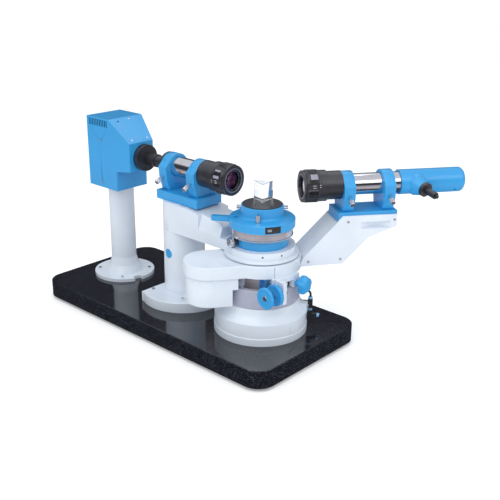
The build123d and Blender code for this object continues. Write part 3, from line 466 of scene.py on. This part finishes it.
class SpectrometerColours(bpy.types.PropertyGroup):
    """Colours of the finishes."""

    granite: FloatVectorProperty(name="Granite", description="Ground of the slab", subtype="COLOR",
                                 default=(0.007, 0.008, 0.012))
    granite_fleck: FloatVectorProperty(name="Granite fleck", description="Crystals in the slab",
                                       subtype="COLOR", default=(0.075, 0.085, 0.11))
    white_paint: FloatVectorProperty(name="White paint", description="Stands, arm and bridge",
                                     subtype="COLOR", default=(0.73, 0.80, 0.89))
    blue_paint: FloatVectorProperty(name="Blue paint", description="Lamp house, cradles and table",
                                    subtype="COLOR", default=(0.028, 0.345, 0.740))
    drum_paint: FloatVectorProperty(name="Drum paint", description="Rotor and drum", subtype="COLOR",
                                    default=(0.42, 0.44, 0.55))
    black_anodised: FloatVectorProperty(name="Black anodising", description="Lens barrels",
                                        subtype="COLOR", default=(0.016, 0.016, 0.024))
    black_moulding: FloatVectorProperty(name="Black plastic", description="Plugs and grips",
                                        subtype="COLOR", default=(0.018, 0.018, 0.020))
    pale_blue: FloatVectorProperty(name="Pale blue plastic", description="Air fitting collars",
                                   subtype="COLOR", default=(0.22, 0.50, 0.80))
    steel: FloatVectorProperty(name="Steel", description="Tubes, rings and screws", subtype="COLOR",
                               default=(0.80, 0.80, 0.83))


def sizes():
    return bpy.context.scene.spectrometer_sizes


# ---------------------------------------------------------------- pieces
benches = {
    "collimator": ("collimator_focus_turn", "base"), "telescope": ("telescope_focus_turn", "telescope_arm"),
}
lens_front = 104 * mm
pad_sweep = 0.56


def grip_wave(count, depth, low, high, inner):
    """Grooves between grip ribs: the radius falls by the depth where the cosine of the count times the
    angle is high, and the fall fades out at both ends of the grip. The bore is left round."""
    def wave(angle, station, radius):
        groove = np.clip((np.cos(count * angle) + 0.35) / 0.5, 0, 1)
        fade = np.clip((station - low) / (1.5 * mm), 0, 1) * np.clip((high - station) / (1.5 * mm), 0, 1)
        return -depth * groove * fade * (radius > inner)
    return wave


class SPECTROMETER_OT_finishes(bpy.types.Operator):
    """Makes every material and puts it on the frame's nodes"""

    bl_idname = "spectrometer.finishes"
    bl_label = "Finishes"

    def execute(self, context):
        make_finishes(context.scene.spectrometer_colours)
        dress_nodes()
        return {"FINISHED"}


class SPECTROMETER_OT_focus_rings(bpy.types.Operator):
    """Ribbed focus rings with a smooth pad and filled marks"""

    bl_idname = "spectrometer.focus_rings"
    bl_label = "Focus rings"

    def execute(self, context):
        low, high = 109.5 * mm, 147.5 * mm
        inner, outer, rear = 35.8 * mm, 44.0 * mm, 42.6 * mm
        step = low + 31 * mm
        outline = rounded([(inner, low), (41.0 * mm, low), (outer, low + 4 * mm), (outer, step),
                           (rear, step + 2 * mm), (rear, high), (inner, high)], 1.2 * mm)
        extra = np.linspace(low + 5 * mm, step - 1 * mm, 14)
        cut = int(np.argmax((outline[:, 0] > outer - 0.01 * mm) & (outline[:, 1] > low + 5 * mm)))
        outline = np.insert(outline, cut, np.stack([np.full(len(extra), outer), extra], -1), axis=0)
        wave = grip_wave(sizes().grip_count, sizes().grip_depth, low + 2 * mm, step, 40 * mm)
        pad = rounded([(outer - 3 * mm, low + 11 * mm), (outer - 0.1 * mm, low + 11 * mm),
                       (outer - 0.1 * mm, step - 0.5 * mm), (outer - 3 * mm, step - 0.5 * mm)], 0.5 * mm, 2)
        mark_rows = ((rear + 0.05 * mm, high - 3 * mm, 4.0, 0.0),
                     (outer - 0.05 * mm, step - 12 * mm, 9.0, 0.02))
        for side, (joint, _) in benches.items():
            seat, body = bench_of(joint), f"{side}_focus"
            ring = piece(f"{side}_grip_ring", turned(outline, 224, wave=wave), seat, body,
                         finishes["black_anodised"], 50)
            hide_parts(f"{side}_focus_ring")
            facing, way = (math.radians(-62), -1) if side == "collimator" else (math.radians(48), 1)
            piece(f"{side}_scale_pad", turned(pad, 24, facing - pad_sweep / 2, pad_sweep), seat, body,
                  finishes["scale_pad"])
            for row, (reach, middle, long, shift) in enumerate(mark_rows, 1):
                turn = facing + way * (0.44 + 0.13 * np.arange(2)) + shift
                places = around(turn, reach, middle)
                piece(f"{side}_focus_marks_{row}", bars(places, np.array([0.3, 0.9, long]) * mm), seat, body,
                      finishes["mark_white"])
        return {"FINISHED"}


class SPECTROMETER_OT_lens_fronts(bpy.types.Operator):
    """Bright bezel, black retaining ring and a turned step in the front of each lens"""

    bl_idname = "spectrometer.lens_fronts"
    bl_label = "Lens fronts"

    def execute(self, context):
        front, back = lens_front, lens_front + 4.6 * mm
        bezel = rounded([(30.4 * mm, front - 0.2 * mm), (33.4 * mm, front - 0.2 * mm),
                         (33.4 * mm, front + 1 * mm), (30.4 * mm, front + 1 * mm)], 0.4 * mm)
        outer, step = 29.9 * mm, 0.9 * mm
        slope = [(outer - (i + end) * step, front + 0.6 * mm + i * step) for i in range(4) for end in (0, 1)]
        retainer = rounded(slope + [(26.2 * mm, back), (outer, back)], 0.15 * mm, 2)
        inner = rounded([(25.2 * mm, back - 0.4 * mm), (26.6 * mm, back - 0.4 * mm),
                         (26.6 * mm, back + 0.1 * mm), (25.2 * mm, back + 0.1 * mm)], 0.2 * mm, 2)
        rings = (("inner_bezel", inner, "bright_ring"), ("bezel", bezel, "bright_ring"),
                 ("lens_retainer", retainer, "black_anodised"))
        for side, (joint, body) in benches.items():
            for name, profile, kind in rings:
                piece(f"{side}_{name}", turned(profile, 128), bench_of(joint), body, finishes[kind])
        return {"FINISHED"}


def knurled(radius, low, high, shank, tail):
    """Profile of a knurled screw: its shank, then a head with turned ends and a slight dish."""
    dish = 0.8 * mm
    return rounded([(0, tail), (shank, tail), (shank, low), (radius * 0.72, low), (radius, low + 1.6 * mm),
                    (radius, high - 1.6 * mm), (radius * 0.80, high), (radius * 0.42, high),
                    (radius * 0.36, high - dish), (0, high - dish)], 0.35 * mm, 2, closed=False)


def knurl_wave(radius, low, high):
    """Straight knurls: the radius falls where the cosine of the count times the angle falls, squared."""
    def wave(angle, station, at):
        ridge = (0.5 - 0.5 * np.cos(sizes().knurl_count * angle)) ** 2
        return -sizes().knurl_depth * ridge * (at > radius * 0.97)
    return wave


class SPECTROMETER_OT_clamp_screws(bpy.types.Operator):
    """Knurled steel clamp screws of both cradles and of the prism table"""

    bl_idname = "spectrometer.clamp_screws"
    bl_label = "Clamp screws"

    def execute(self, context):
        low, high, radius = 13 * mm, 31 * mm, 6.5 * mm
        profile = knurled(radius, low, high, 3.5 * mm, -20.4 * mm)
        surface = turned(profile, sizes().knurl_count * 6, wave=knurl_wave(radius, low, high))
        for side in benches:
            for place, number in (("front", 1), ("rear", 2)):
                name = f"{side}_{place}_clamp"
                screw = piece(f"{side}_{place}_thumb_screw", surface, seat_of(f"{name}_turn"),
                              f"{side}_clamp_{number}", finishes["steel"], 60)
                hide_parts(name)
        low, high, radius = 13 * mm, 27 * mm, 13 * mm
        profile = knurled(radius, low, high, 3.5 * mm, -14 * mm)
        surface = turned(profile, sizes().knurl_count * 6, wave=knurl_wave(radius, low, high))
        knob = piece("table_thumb_screw", surface, seat_of("table_clamp_turn"), "table_clamp",
                     finishes["steel"], 60)
        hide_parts("table_clamp_knob")
        return {"FINISHED"}


class SPECTROMETER_OT_star_knob(bpy.types.Operator):
    """Smooth lobed knob that clamps the arm"""

    bl_idname = "spectrometer.star_knob"
    bl_label = "Star knob"

    def execute(self, context):
        radius, depth, core, dip = 26 * mm, 24 * mm, 11 * mm, 5 * mm
        profile = [(0, -27.7 * mm), (5 * mm, -27.7 * mm), (5 * mm, -12.5 * mm), (9.5 * mm, -12.5 * mm),
                   (9.5 * mm, -3 * mm), (15 * mm, 0), (radius - 4 * mm, 0), (radius, 5 * mm),
                   (radius, depth - 7 * mm), (radius - 8 * mm, depth), (0, depth)]
        profile = rounded(profile, 4 * mm, 6, closed=False)

        def lobes(angle, station, at):
            """The outer radius falls by the dip between lobes, as the cosine of the lobes times the angle."""
            between = 0.5 - 0.5 * np.cos(sizes().star_lobes * angle)
            return -dip * between * np.clip((at - core) / (radius - core), 0, 1)

        knob = piece("arm_star_knob", turned(profile, 160, wave=lobes), seat_of("arm_clamp_turn"),
                     "arm_clamp", finishes["blue_paint"], 60)
        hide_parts("arm_clamp_knob")
        return {"FINISHED"}


class SPECTROMETER_OT_drive_discs(bpy.types.Operator):
    """Dished hand discs of the fine drive, with a steel screw in the middle of the outer one"""

    bl_idname = "spectrometer.drive_discs"
    bl_label = "Drive discs"

    def execute(self, context):
        seat = seat_of("fine_drive_turn")
        surfaces = []
        outer_face, bore, dish = -52 * mm, 5.1 * mm, 1.3 * mm
        for low, high, radius in ((outer_face, -43 * mm, 28.5 * mm), (-20 * mm, -9 * mm, 29 * mm)):
            profile = rounded([(bore, low + dish), (10 * mm, low + dish), (11.5 * mm, low + 0.4 * mm),
                               (13 * mm, low + dish), (22.5 * mm, low + dish), (24 * mm, low),
                               (radius - 1.5 * mm, low), (radius, low + 1.5 * mm), (radius, high - 1.5 * mm),
                               (radius - 1.5 * mm, high), (bore, high)], 0.6 * mm)
            surfaces.append(turned(profile, 144))
        discs = piece("fine_drive_hand_discs", joined(*surfaces), seat, "fine_drive", finishes["blue_paint"],
                      50)
        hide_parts("fine_drive_discs")
        steps_in = ((0, 0.6), (3.0, 0.6), (3.0, 0), (6.4, 0), (7.2, 0.8), (7.2, 2.0), (0, 2.0))
        head = rounded([(radius * mm, outer_face + depth * mm) for radius, depth in steps_in], 0.3 * mm, 2,
                       closed=False)
        piece("fine_drive_end_screw", turned(head, 64), seat, "fine_drive", finishes["steel"])
        return {"FINISHED"}


class SPECTROMETER_OT_graduations(bpy.types.Operator):
    """Filled marks round the graduated ring and in the reading window"""

    bl_idname = "spectrometer.graduations"
    bl_label = "Graduations"

    def execute(self, context):
        count = sizes().scale_marks
        scale_radius, window_radius = 81.5 * mm, 88.02 * mm
        turn = whole_turn * np.arange(count) / count
        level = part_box("graduated_ring")[1].z - slab_top - 4 * mm
        tall = np.arange(count) % 5 == 0
        short_height = 3.5
        for name, chosen, height in (("scale_long_marks", tall, 6.0),
                                     ("scale_short_marks", ~tall, short_height)):
            places = around(turn[chosen], scale_radius, level + (short_height - height) / 2 * mm)
            piece(name, bars(places, np.array([0.12, 0.28, height]) * mm), upright(0), "base",
                  finishes["mark_dark"])
        window_low, window_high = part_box("index_window")
        middle = (window_low + window_high) / 2 - axis_foot
        azimuth = math.atan2(middle.y, middle.x)
        places = around(azimuth + np.radians(np.linspace(-9, -3, 5)), window_radius, middle.z)
        piece("window_index_marks", bars(places, np.array([0.4, 0.7, 7.0]) * mm), upright(0), "prism_table",
              finishes["mark_white"])
        return {"FINISHED"}


def cap(radius, height, socket):
    """Profile of a small cap screw that stands proud by its height, with a round socket in its head."""
    return rounded([(0, -1 * mm), (radius, -1 * mm), (radius, height), (socket, height),
                    (socket, height * 0.2), (0, height * 0.2)], 0.25 * mm, 2, closed=False)


def stacked(outlines, levels):
    """A closed surface through outlines of the same count of points, one at each level, with flat ends."""
    outlines = np.array(outlines)
    rows, count = outlines.shape[:2]
    height = np.repeat(np.array(levels, float), count)[:, None]
    index = np.arange(rows * count).reshape(rows, count)
    here, there = index[:-1], index[1:]
    quads = np.stack([here, np.roll(here, -1, 1), np.roll(there, -1, 1), there], -1)
    faces = quads.reshape(-1, 4).tolist() + [index[0][::-1].tolist(), index[-1].tolist()]
    return np.hstack([outlines.reshape(-1, 2), height]), faces


class SPECTROMETER_OT_prism(bpy.types.Operator):
    """Clear prism with polished sides, a fine chamfer and ground end faces"""

    bl_idname = "spectrometer.prism"
    bl_label = "Prism"

    def execute(self, context):
        low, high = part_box("prism")
        mesh = frame["nodes"]["prism"].data
        points = np.zeros(len(mesh.vertices) * 3)
        mesh.vertices.foreach_get("co", points)
        corners = np.unique(points.reshape(-1, 3)[:, :2].round(6), axis=0)
        middle = corners.mean(0)
        corners = corners[np.argsort(np.arctan2(*(corners - middle).T[::-1]))]
        corner_reach = np.linalg.norm(corners - middle, axis=1).mean()
        chamfer = 0.7 * mm

        def outline(inset):
            shrunk = middle + (corners - middle) * (1 - 2 * inset / corner_reach)
            return rounded(shrunk, 0.9 * mm, 2)

        body = stacked([outline(chamfer), outline(0.02 * mm), outline(0.02 * mm), outline(chamfer)],
                       [low.z + 0.02 * mm, low.z + chamfer, high.z - chamfer, high.z - 0.05 * mm])
        at_origin = Matrix.Identity(4)
        glass = piece("clear_prism", body, at_origin, "prism_table", finishes["prism_glass"],
                      20)
        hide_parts("prism")
        for name, bottom, top in (("ground_top_face", high.z - 0.045 * mm, high.z),
                                  ("ground_bottom_face", low.z + 0.10 * mm, low.z + 0.30 * mm)):
            ground = stacked([outline(chamfer * 1.1), outline(chamfer * 1.1)], [bottom, top])
            piece(name, ground, at_origin, "prism_table", finishes["ground_glass"], 20)
        return {"FINISHED"}


def bent_disc(radius, bend, proud, rings=10, steps=64):
    """A thin round plate laid on an upright cylinder: a point (distance, angle) of the flat disc has the
    height distance times sine, and the azimuth distance times cosine divided by the cylinder's radius."""
    distance = np.concatenate([np.linspace(0, radius, rings + 1)[1:], np.linspace(radius, 0, rings + 1)[:-1]])
    reach = np.concatenate([np.full(rings, bend + proud), np.full(rings, bend - 0.4 * mm)])
    angle = whole_turn * np.arange(steps)[:, None] / steps
    azimuth = distance[None] * np.cos(angle) / bend
    height = distance[None] * np.sin(angle)
    points = np.stack([reach * np.cos(azimuth), reach * np.sin(azimuth), height], -1)
    index = np.arange(steps * rings * 2).reshape(steps, rings * 2)
    there = np.roll(index, -1, 0)
    quads = np.stack([index[:, :-1], there[:, :-1], there[:, 1:], index[:, 1:]], -1).reshape(-1, 4)
    poles = np.array([[bend + proud, 0, 0], [bend - 0.4 * mm, 0, 0]])
    outer, inner = index.size, index.size + 1
    faces = quads.tolist()
    faces += np.stack([np.full(steps, outer), there[:, 0], index[:, 0]], -1).tolist()
    faces += np.stack([np.full(steps, inner), index[:, -1], there[:, -1]], -1).tolist()
    return np.vstack([points.reshape(-1, 3), poles]), faces


def house_slope():
    """Seat in the upper edge of the lamp house's sloping roof: X down the slope, Y across, Z out of it."""
    edge = Vector((axis_foot.x - 548 * mm, axis_foot.y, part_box("lamp_housing")[1].z))
    foot = Vector((axis_foot.x - 456 * mm, axis_foot.y, slab_top + 446 * mm))
    down = (foot - edge).normalized()
    out = down.cross(Vector((0, 1, 0)))
    turn = Matrix((down, out.cross(down), out)).transposed()
    return Matrix.Translation(edge) @ turn.to_4x4()


class SPECTROMETER_OT_small_parts(bpy.types.Operator):
    """Small screws and plugs, the base's round cover, the plain blue dot and the hub's seam"""

    bl_idname = "spectrometer.small_parts"
    bl_label = "Small parts"

    def execute(self, context):
        ring_wall, ring_middle = 90 * mm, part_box("stage_disc")[0].z - slab_top - 9 * mm
        for number, azimuth in enumerate((-47.0, -13.5), 1):
            piece(f"ring_set_screw_{number}", turned(cap(2.4 * mm, 0.3 * mm, 1.3 * mm), 32),
                  outwards_from(azimuth, ring_wall, ring_middle), "base", finishes["black_plastic"])

        base_wall = 126.5 * mm
        piece("base_round_cover", bent_disc(17 * mm, base_wall, 1.4 * mm), upright(-3.2, 39 * mm), "base",
              finishes["white_paint"])

        low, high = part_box("collimator_column")
        label_middle = Vector(((low.x + high.x) / 2, (low.y + high.y) / 2, slab_top + 150 * mm))
        label_seat = Matrix.Translation(label_middle) @ Matrix.Rotation(math.radians(-94), 4, "Z")
        column_radius = (high.y - low.y) / 2
        for name, radius, proud, kind in (("plain_round_label", 14 * mm, 0.25 * mm, "blue_paint"),
                                          ("label_rim", 16 * mm, 0.12 * mm, "white_paint")):
            piece(name, bent_disc(radius, column_radius, proud), label_seat, "base", finishes[kind])

        seam_low, seam_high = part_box("arm_hub")[0].z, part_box("arm_hub")[1].z
        seam = around(np.zeros(1), 106.02 * mm, (seam_low + seam_high) / 2 - slab_top)
        piece("hub_seam", bars(seam, np.array([0.4 * mm, 0.7 * mm, seam_high - seam_low - 3 * mm])),
              upright(-30), "telescope_arm", finishes["mark_dark"])

        slope_screws = ((10, 7, "steel"), (13, -36, "black_plastic"), (96, 14, "steel"), (96, -44, "steel"))
        for number, (along, side, kind) in enumerate(slope_screws, 1):
            seat = house_slope() @ Matrix.Translation((along * mm, side * mm, 0))
            piece(f"house_slope_screw_{number}", turned(cap(2.6 * mm, 0.7 * mm, 1.2 * mm), 32), seat, "base",
                  finishes[kind])

        head_wall, head_station = 33.5 * mm, 527 * mm
        out_of_wall = Matrix.Rotation(math.radians(90), 4, "Y")
        seat = bench_of("telescope_focus_turn") @ Matrix.Rotation(math.radians(129), 4, "Z")
        seat = seat @ Matrix.Translation((head_wall, 0, head_station)) @ out_of_wall
        piece("head_vent_plug", turned(cap(2.4 * mm, 0.2 * mm, 1.2 * mm), 32), seat, "telescope_arm",
              finishes["black_plastic"])
        return {"FINISHED"}


# ---------------------------------------------------------------- stage
camera_place = Vector((1.3246, -1.5237, 0.9836))
camera_yaw, camera_pitch, camera_roll = (math.radians(a) for a in (131.88, 20.64, 0.70))
camera_lens_mm = 58.08
floor_reach = 40.0
reflected_reach = 6.0
soft_box_reach = 2.8
# name, azimuth and elevation in degrees, size in metres and power in watts
soft_boxes = (
    ("front_box", -88, 40, (2.2, 1.1), 13),
    ("side_box", 0, 36, (1.6, 1.1), 9),
    ("back_box", 130, 62, (1.6, 0.7), 5),
)


def camera_turn():
    """The camera's axes: it looks along its yaw and down by its pitch, then rolls about that line."""
    forward = Vector((math.cos(camera_yaw) * math.cos(camera_pitch),
                      math.sin(camera_yaw) * math.cos(camera_pitch), -math.sin(camera_pitch)))
    level = Vector((math.sin(camera_yaw), -math.cos(camera_yaw), 0))
    up = level.cross(forward)
    right = level * math.cos(camera_roll) + up * math.sin(camera_roll)
    up = up * math.cos(camera_roll) - level * math.sin(camera_roll)
    return Matrix((right, up, -forward)).transposed().to_4x4()


def soft_light(name, azimuth, elevation, size, power):
    """Soft box that faces the goniometer's axis from an azimuth and elevation in degrees."""
    lamp = bpy.data.lights.new(name, "AREA")
    lamp.shape = "RECTANGLE"
    lamp.size, lamp.size_y = size
    lamp.energy = power
    a, e = math.radians(azimuth), math.radians(elevation)
    reach = Vector((math.cos(a) * math.cos(e), math.sin(a) * math.cos(e), math.sin(e))) * soft_box_reach
    shown = bpy.data.objects.new(name, lamp)
    facing_axis = reach.to_track_quat("Z", "Y").to_matrix().to_4x4()
    shown.matrix_world = Matrix.Translation(axis_foot + reach) @ facing_axis
    shown.visible_camera = False
    bpy.context.scene.collection.objects.link(shown)


def staged(name, points, faces, finish):
    """An object of the stage, which isn't part of the instrument."""
    mesh = bpy.data.meshes.new(name)
    mesh.from_pydata(points, [], faces)
    mesh.materials.append(finish)
    shown = bpy.data.objects.new(name, mesh)
    bpy.context.scene.collection.objects.link(shown)
    return shown


def pale_floor():
    """Wide plain floor that glows a little, so that it stays pale under the instrument."""
    finish, tree, shader, place = new_finish("pale_floor", (0.94, 0.945, 0.955), 0.9, Specular_IOR_Level=0.0)
    link(tree, ramp(tree, noise(tree, place, 3.0, 2.0), [(0.3, (0.93, 0.935, 0.945)),
                                                         (0.7, (0.95, 0.955, 0.965))]), shader, "Base Color")
    shader.inputs["Emission Color"].default_value = (0.98, 0.99, 1.0, 1)
    shader.inputs["Emission Strength"].default_value = 0.22
    reach = floor_reach
    staged("floor", [(-reach, -reach, 0), (reach, -reach, 0), (reach, reach, 0), (-reach, reach, 0)],
           [(0, 1, 2, 3)], finish)


def reflected_studio():
    """What shiny pieces mirror, and nothing else sees: a closed dome, dark at the horizon and near the
    slab, pale overhead and on the floor farther out."""
    finish, tree, shader, place = new_finish("dark_studio", (0, 0, 0), 1.0, Specular_IOR_Level=0.0)
    height = node(tree, "ShaderNodeSeparateXYZ", {"Vector": place}).outputs["Z"]
    level = node(tree, "ShaderNodeVectorMath", {0: place, 1: (1, 1, 0)}, operation="MULTIPLY").outputs[0]
    distance = node(tree, "ShaderNodeVectorMath", {0: level}, operation="LENGTH").outputs["Value"]

    def of_dome(length):
        return node(tree, "ShaderNodeMath", {0: length, 1: reflected_reach}, operation="DIVIDE").outputs[0]

    wall = ramp(tree, of_dome(height), [(0.0, (0.05, 0.05, 0.06)), (0.45, (0.05, 0.05, 0.06)),
                                        (0.62, (0.75, 0.76, 0.80)), (1.0, (0.60, 0.61, 0.66))])
    ground = ramp(tree, of_dome(distance), [(0.0, (0.05, 0.05, 0.06)), (0.125, (0.05, 0.05, 0.06)),
                                            (0.165, (0.55, 0.52, 0.56)), (0.60, (0.20, 0.20, 0.22))])
    above = node(tree, "ShaderNodeMath", {0: height, 1: 0.01}, operation="GREATER_THAN").outputs[0]
    link(tree, mixed_colours(tree, above, ground, wall), shader, "Emission Color")
    shader.inputs["Emission Strength"].default_value = 1.0

    arc = np.linspace(0, math.pi / 2, 24)[:-1]
    wall_thickness, middle = 0.1, 0.001
    rim = np.stack([np.cos(arc), np.sin(arc)], -1)
    inside = (reflected_reach * rim).tolist()
    outside = ((reflected_reach + wall_thickness) * rim[::-1]).tolist()
    crown = [(middle, reflected_reach), (middle, reflected_reach + wall_thickness)]
    underside = [(reflected_reach + wall_thickness, -wall_thickness), (middle, -wall_thickness)]
    points, faces = turned(inside + crown + outside + underside + [(middle, 0.002)], 64)
    dome = staged("dark_studio", points.tolist(), faces, finish)
    for ray in ("camera", "diffuse", "shadow", "transmission", "volume_scatter"):
        setattr(dome, f"visible_{ray}", False)


class SPECTROMETER_OT_stage(bpy.types.Operator):
    """Pale floor, soft studio light and the camera"""

    bl_idname = "spectrometer.stage"
    bl_label = "Stage"

    def execute(self, context):
        scene = context.scene
        pale_floor()
        reflected_studio()
        for box in soft_boxes:
            soft_light(*box)

        world = bpy.data.worlds.new("studio")
        world.use_nodes = True
        background = world.node_tree.nodes["Background"]
        background.inputs["Color"].default_value = (0.97, 0.985, 1.0, 1)
        background.inputs["Strength"].default_value = 0.62
        scene.world = world

        sun = bpy.data.lights.new("overhead", "SUN")
        sun.energy = 0.85
        sun.angle = math.radians(50)
        shown = bpy.data.objects.new("overhead", sun)
        shown.rotation_euler = (math.radians(18), math.radians(14), 0)
        scene.collection.objects.link(shown)

        camera = bpy.data.objects.new("camera", bpy.data.cameras.new("camera"))
        camera.data.lens = camera_lens_mm
        camera.data.clip_end = 200.0
        camera.matrix_world = Matrix.Translation(axis_foot + camera_place) @ camera_turn()
        scene.collection.objects.link(camera)
        scene.camera = camera
        scene.view_settings.view_transform = "Standard"
        return {"FINISHED"}


class SPECTROMETER_PT_panel(bpy.types.Panel):
    """Lists the settings and the steps in the order that they are run"""

    bl_label = "Prism spectrometer"
    bl_idname = "SPECTROMETER_PT_panel"
    bl_space_type = "VIEW_3D"
    bl_region_type = "UI"
    bl_category = "Spectrometer"

    def draw(self, context):
        for settings in (context.scene.spectrometer_sizes, context.scene.spectrometer_colours):
            box = self.layout.box()
            for name in type(settings).__annotations__:
                box.prop(settings, name)
        for step in steps:
            self.layout.operator(step.bl_idname)


steps = (
    SPECTROMETER_OT_finishes, SPECTROMETER_OT_focus_rings, SPECTROMETER_OT_lens_fronts,
    SPECTROMETER_OT_clamp_screws, SPECTROMETER_OT_star_knob, SPECTROMETER_OT_drive_discs,
    SPECTROMETER_OT_graduations, SPECTROMETER_OT_prism, SPECTROMETER_OT_small_parts, SPECTROMETER_OT_stage,
)
classes = (SpectrometerSizes, SpectrometerColours, *steps, SPECTROMETER_PT_panel)


def register():
    for part in classes:
        bpy.utils.register_class(part)
    bpy.types.Scene.spectrometer_sizes = PointerProperty(type=SpectrometerSizes)
    bpy.types.Scene.spectrometer_colours = PointerProperty(type=SpectrometerColours)


def unregister():
    del bpy.types.Scene.spectrometer_sizes
    del bpy.types.Scene.spectrometer_colours
    for part in reversed(classes):
        bpy.utils.unregister_class(part)


def main():
    register()
    bpy.ops.spectrometer.finishes()
    bpy.ops.spectrometer.focus_rings()
    bpy.ops.spectrometer.lens_fronts()
    bpy.ops.spectrometer.clamp_screws()
    bpy.ops.spectrometer.star_knob()
    bpy.ops.spectrometer.drive_discs()
    bpy.ops.spectrometer.graduations()
    bpy.ops.spectrometer.prism()
    bpy.ops.spectrometer.small_parts()
    bpy.ops.spectrometer.stage()


if __name__ == "__main__":
    main()
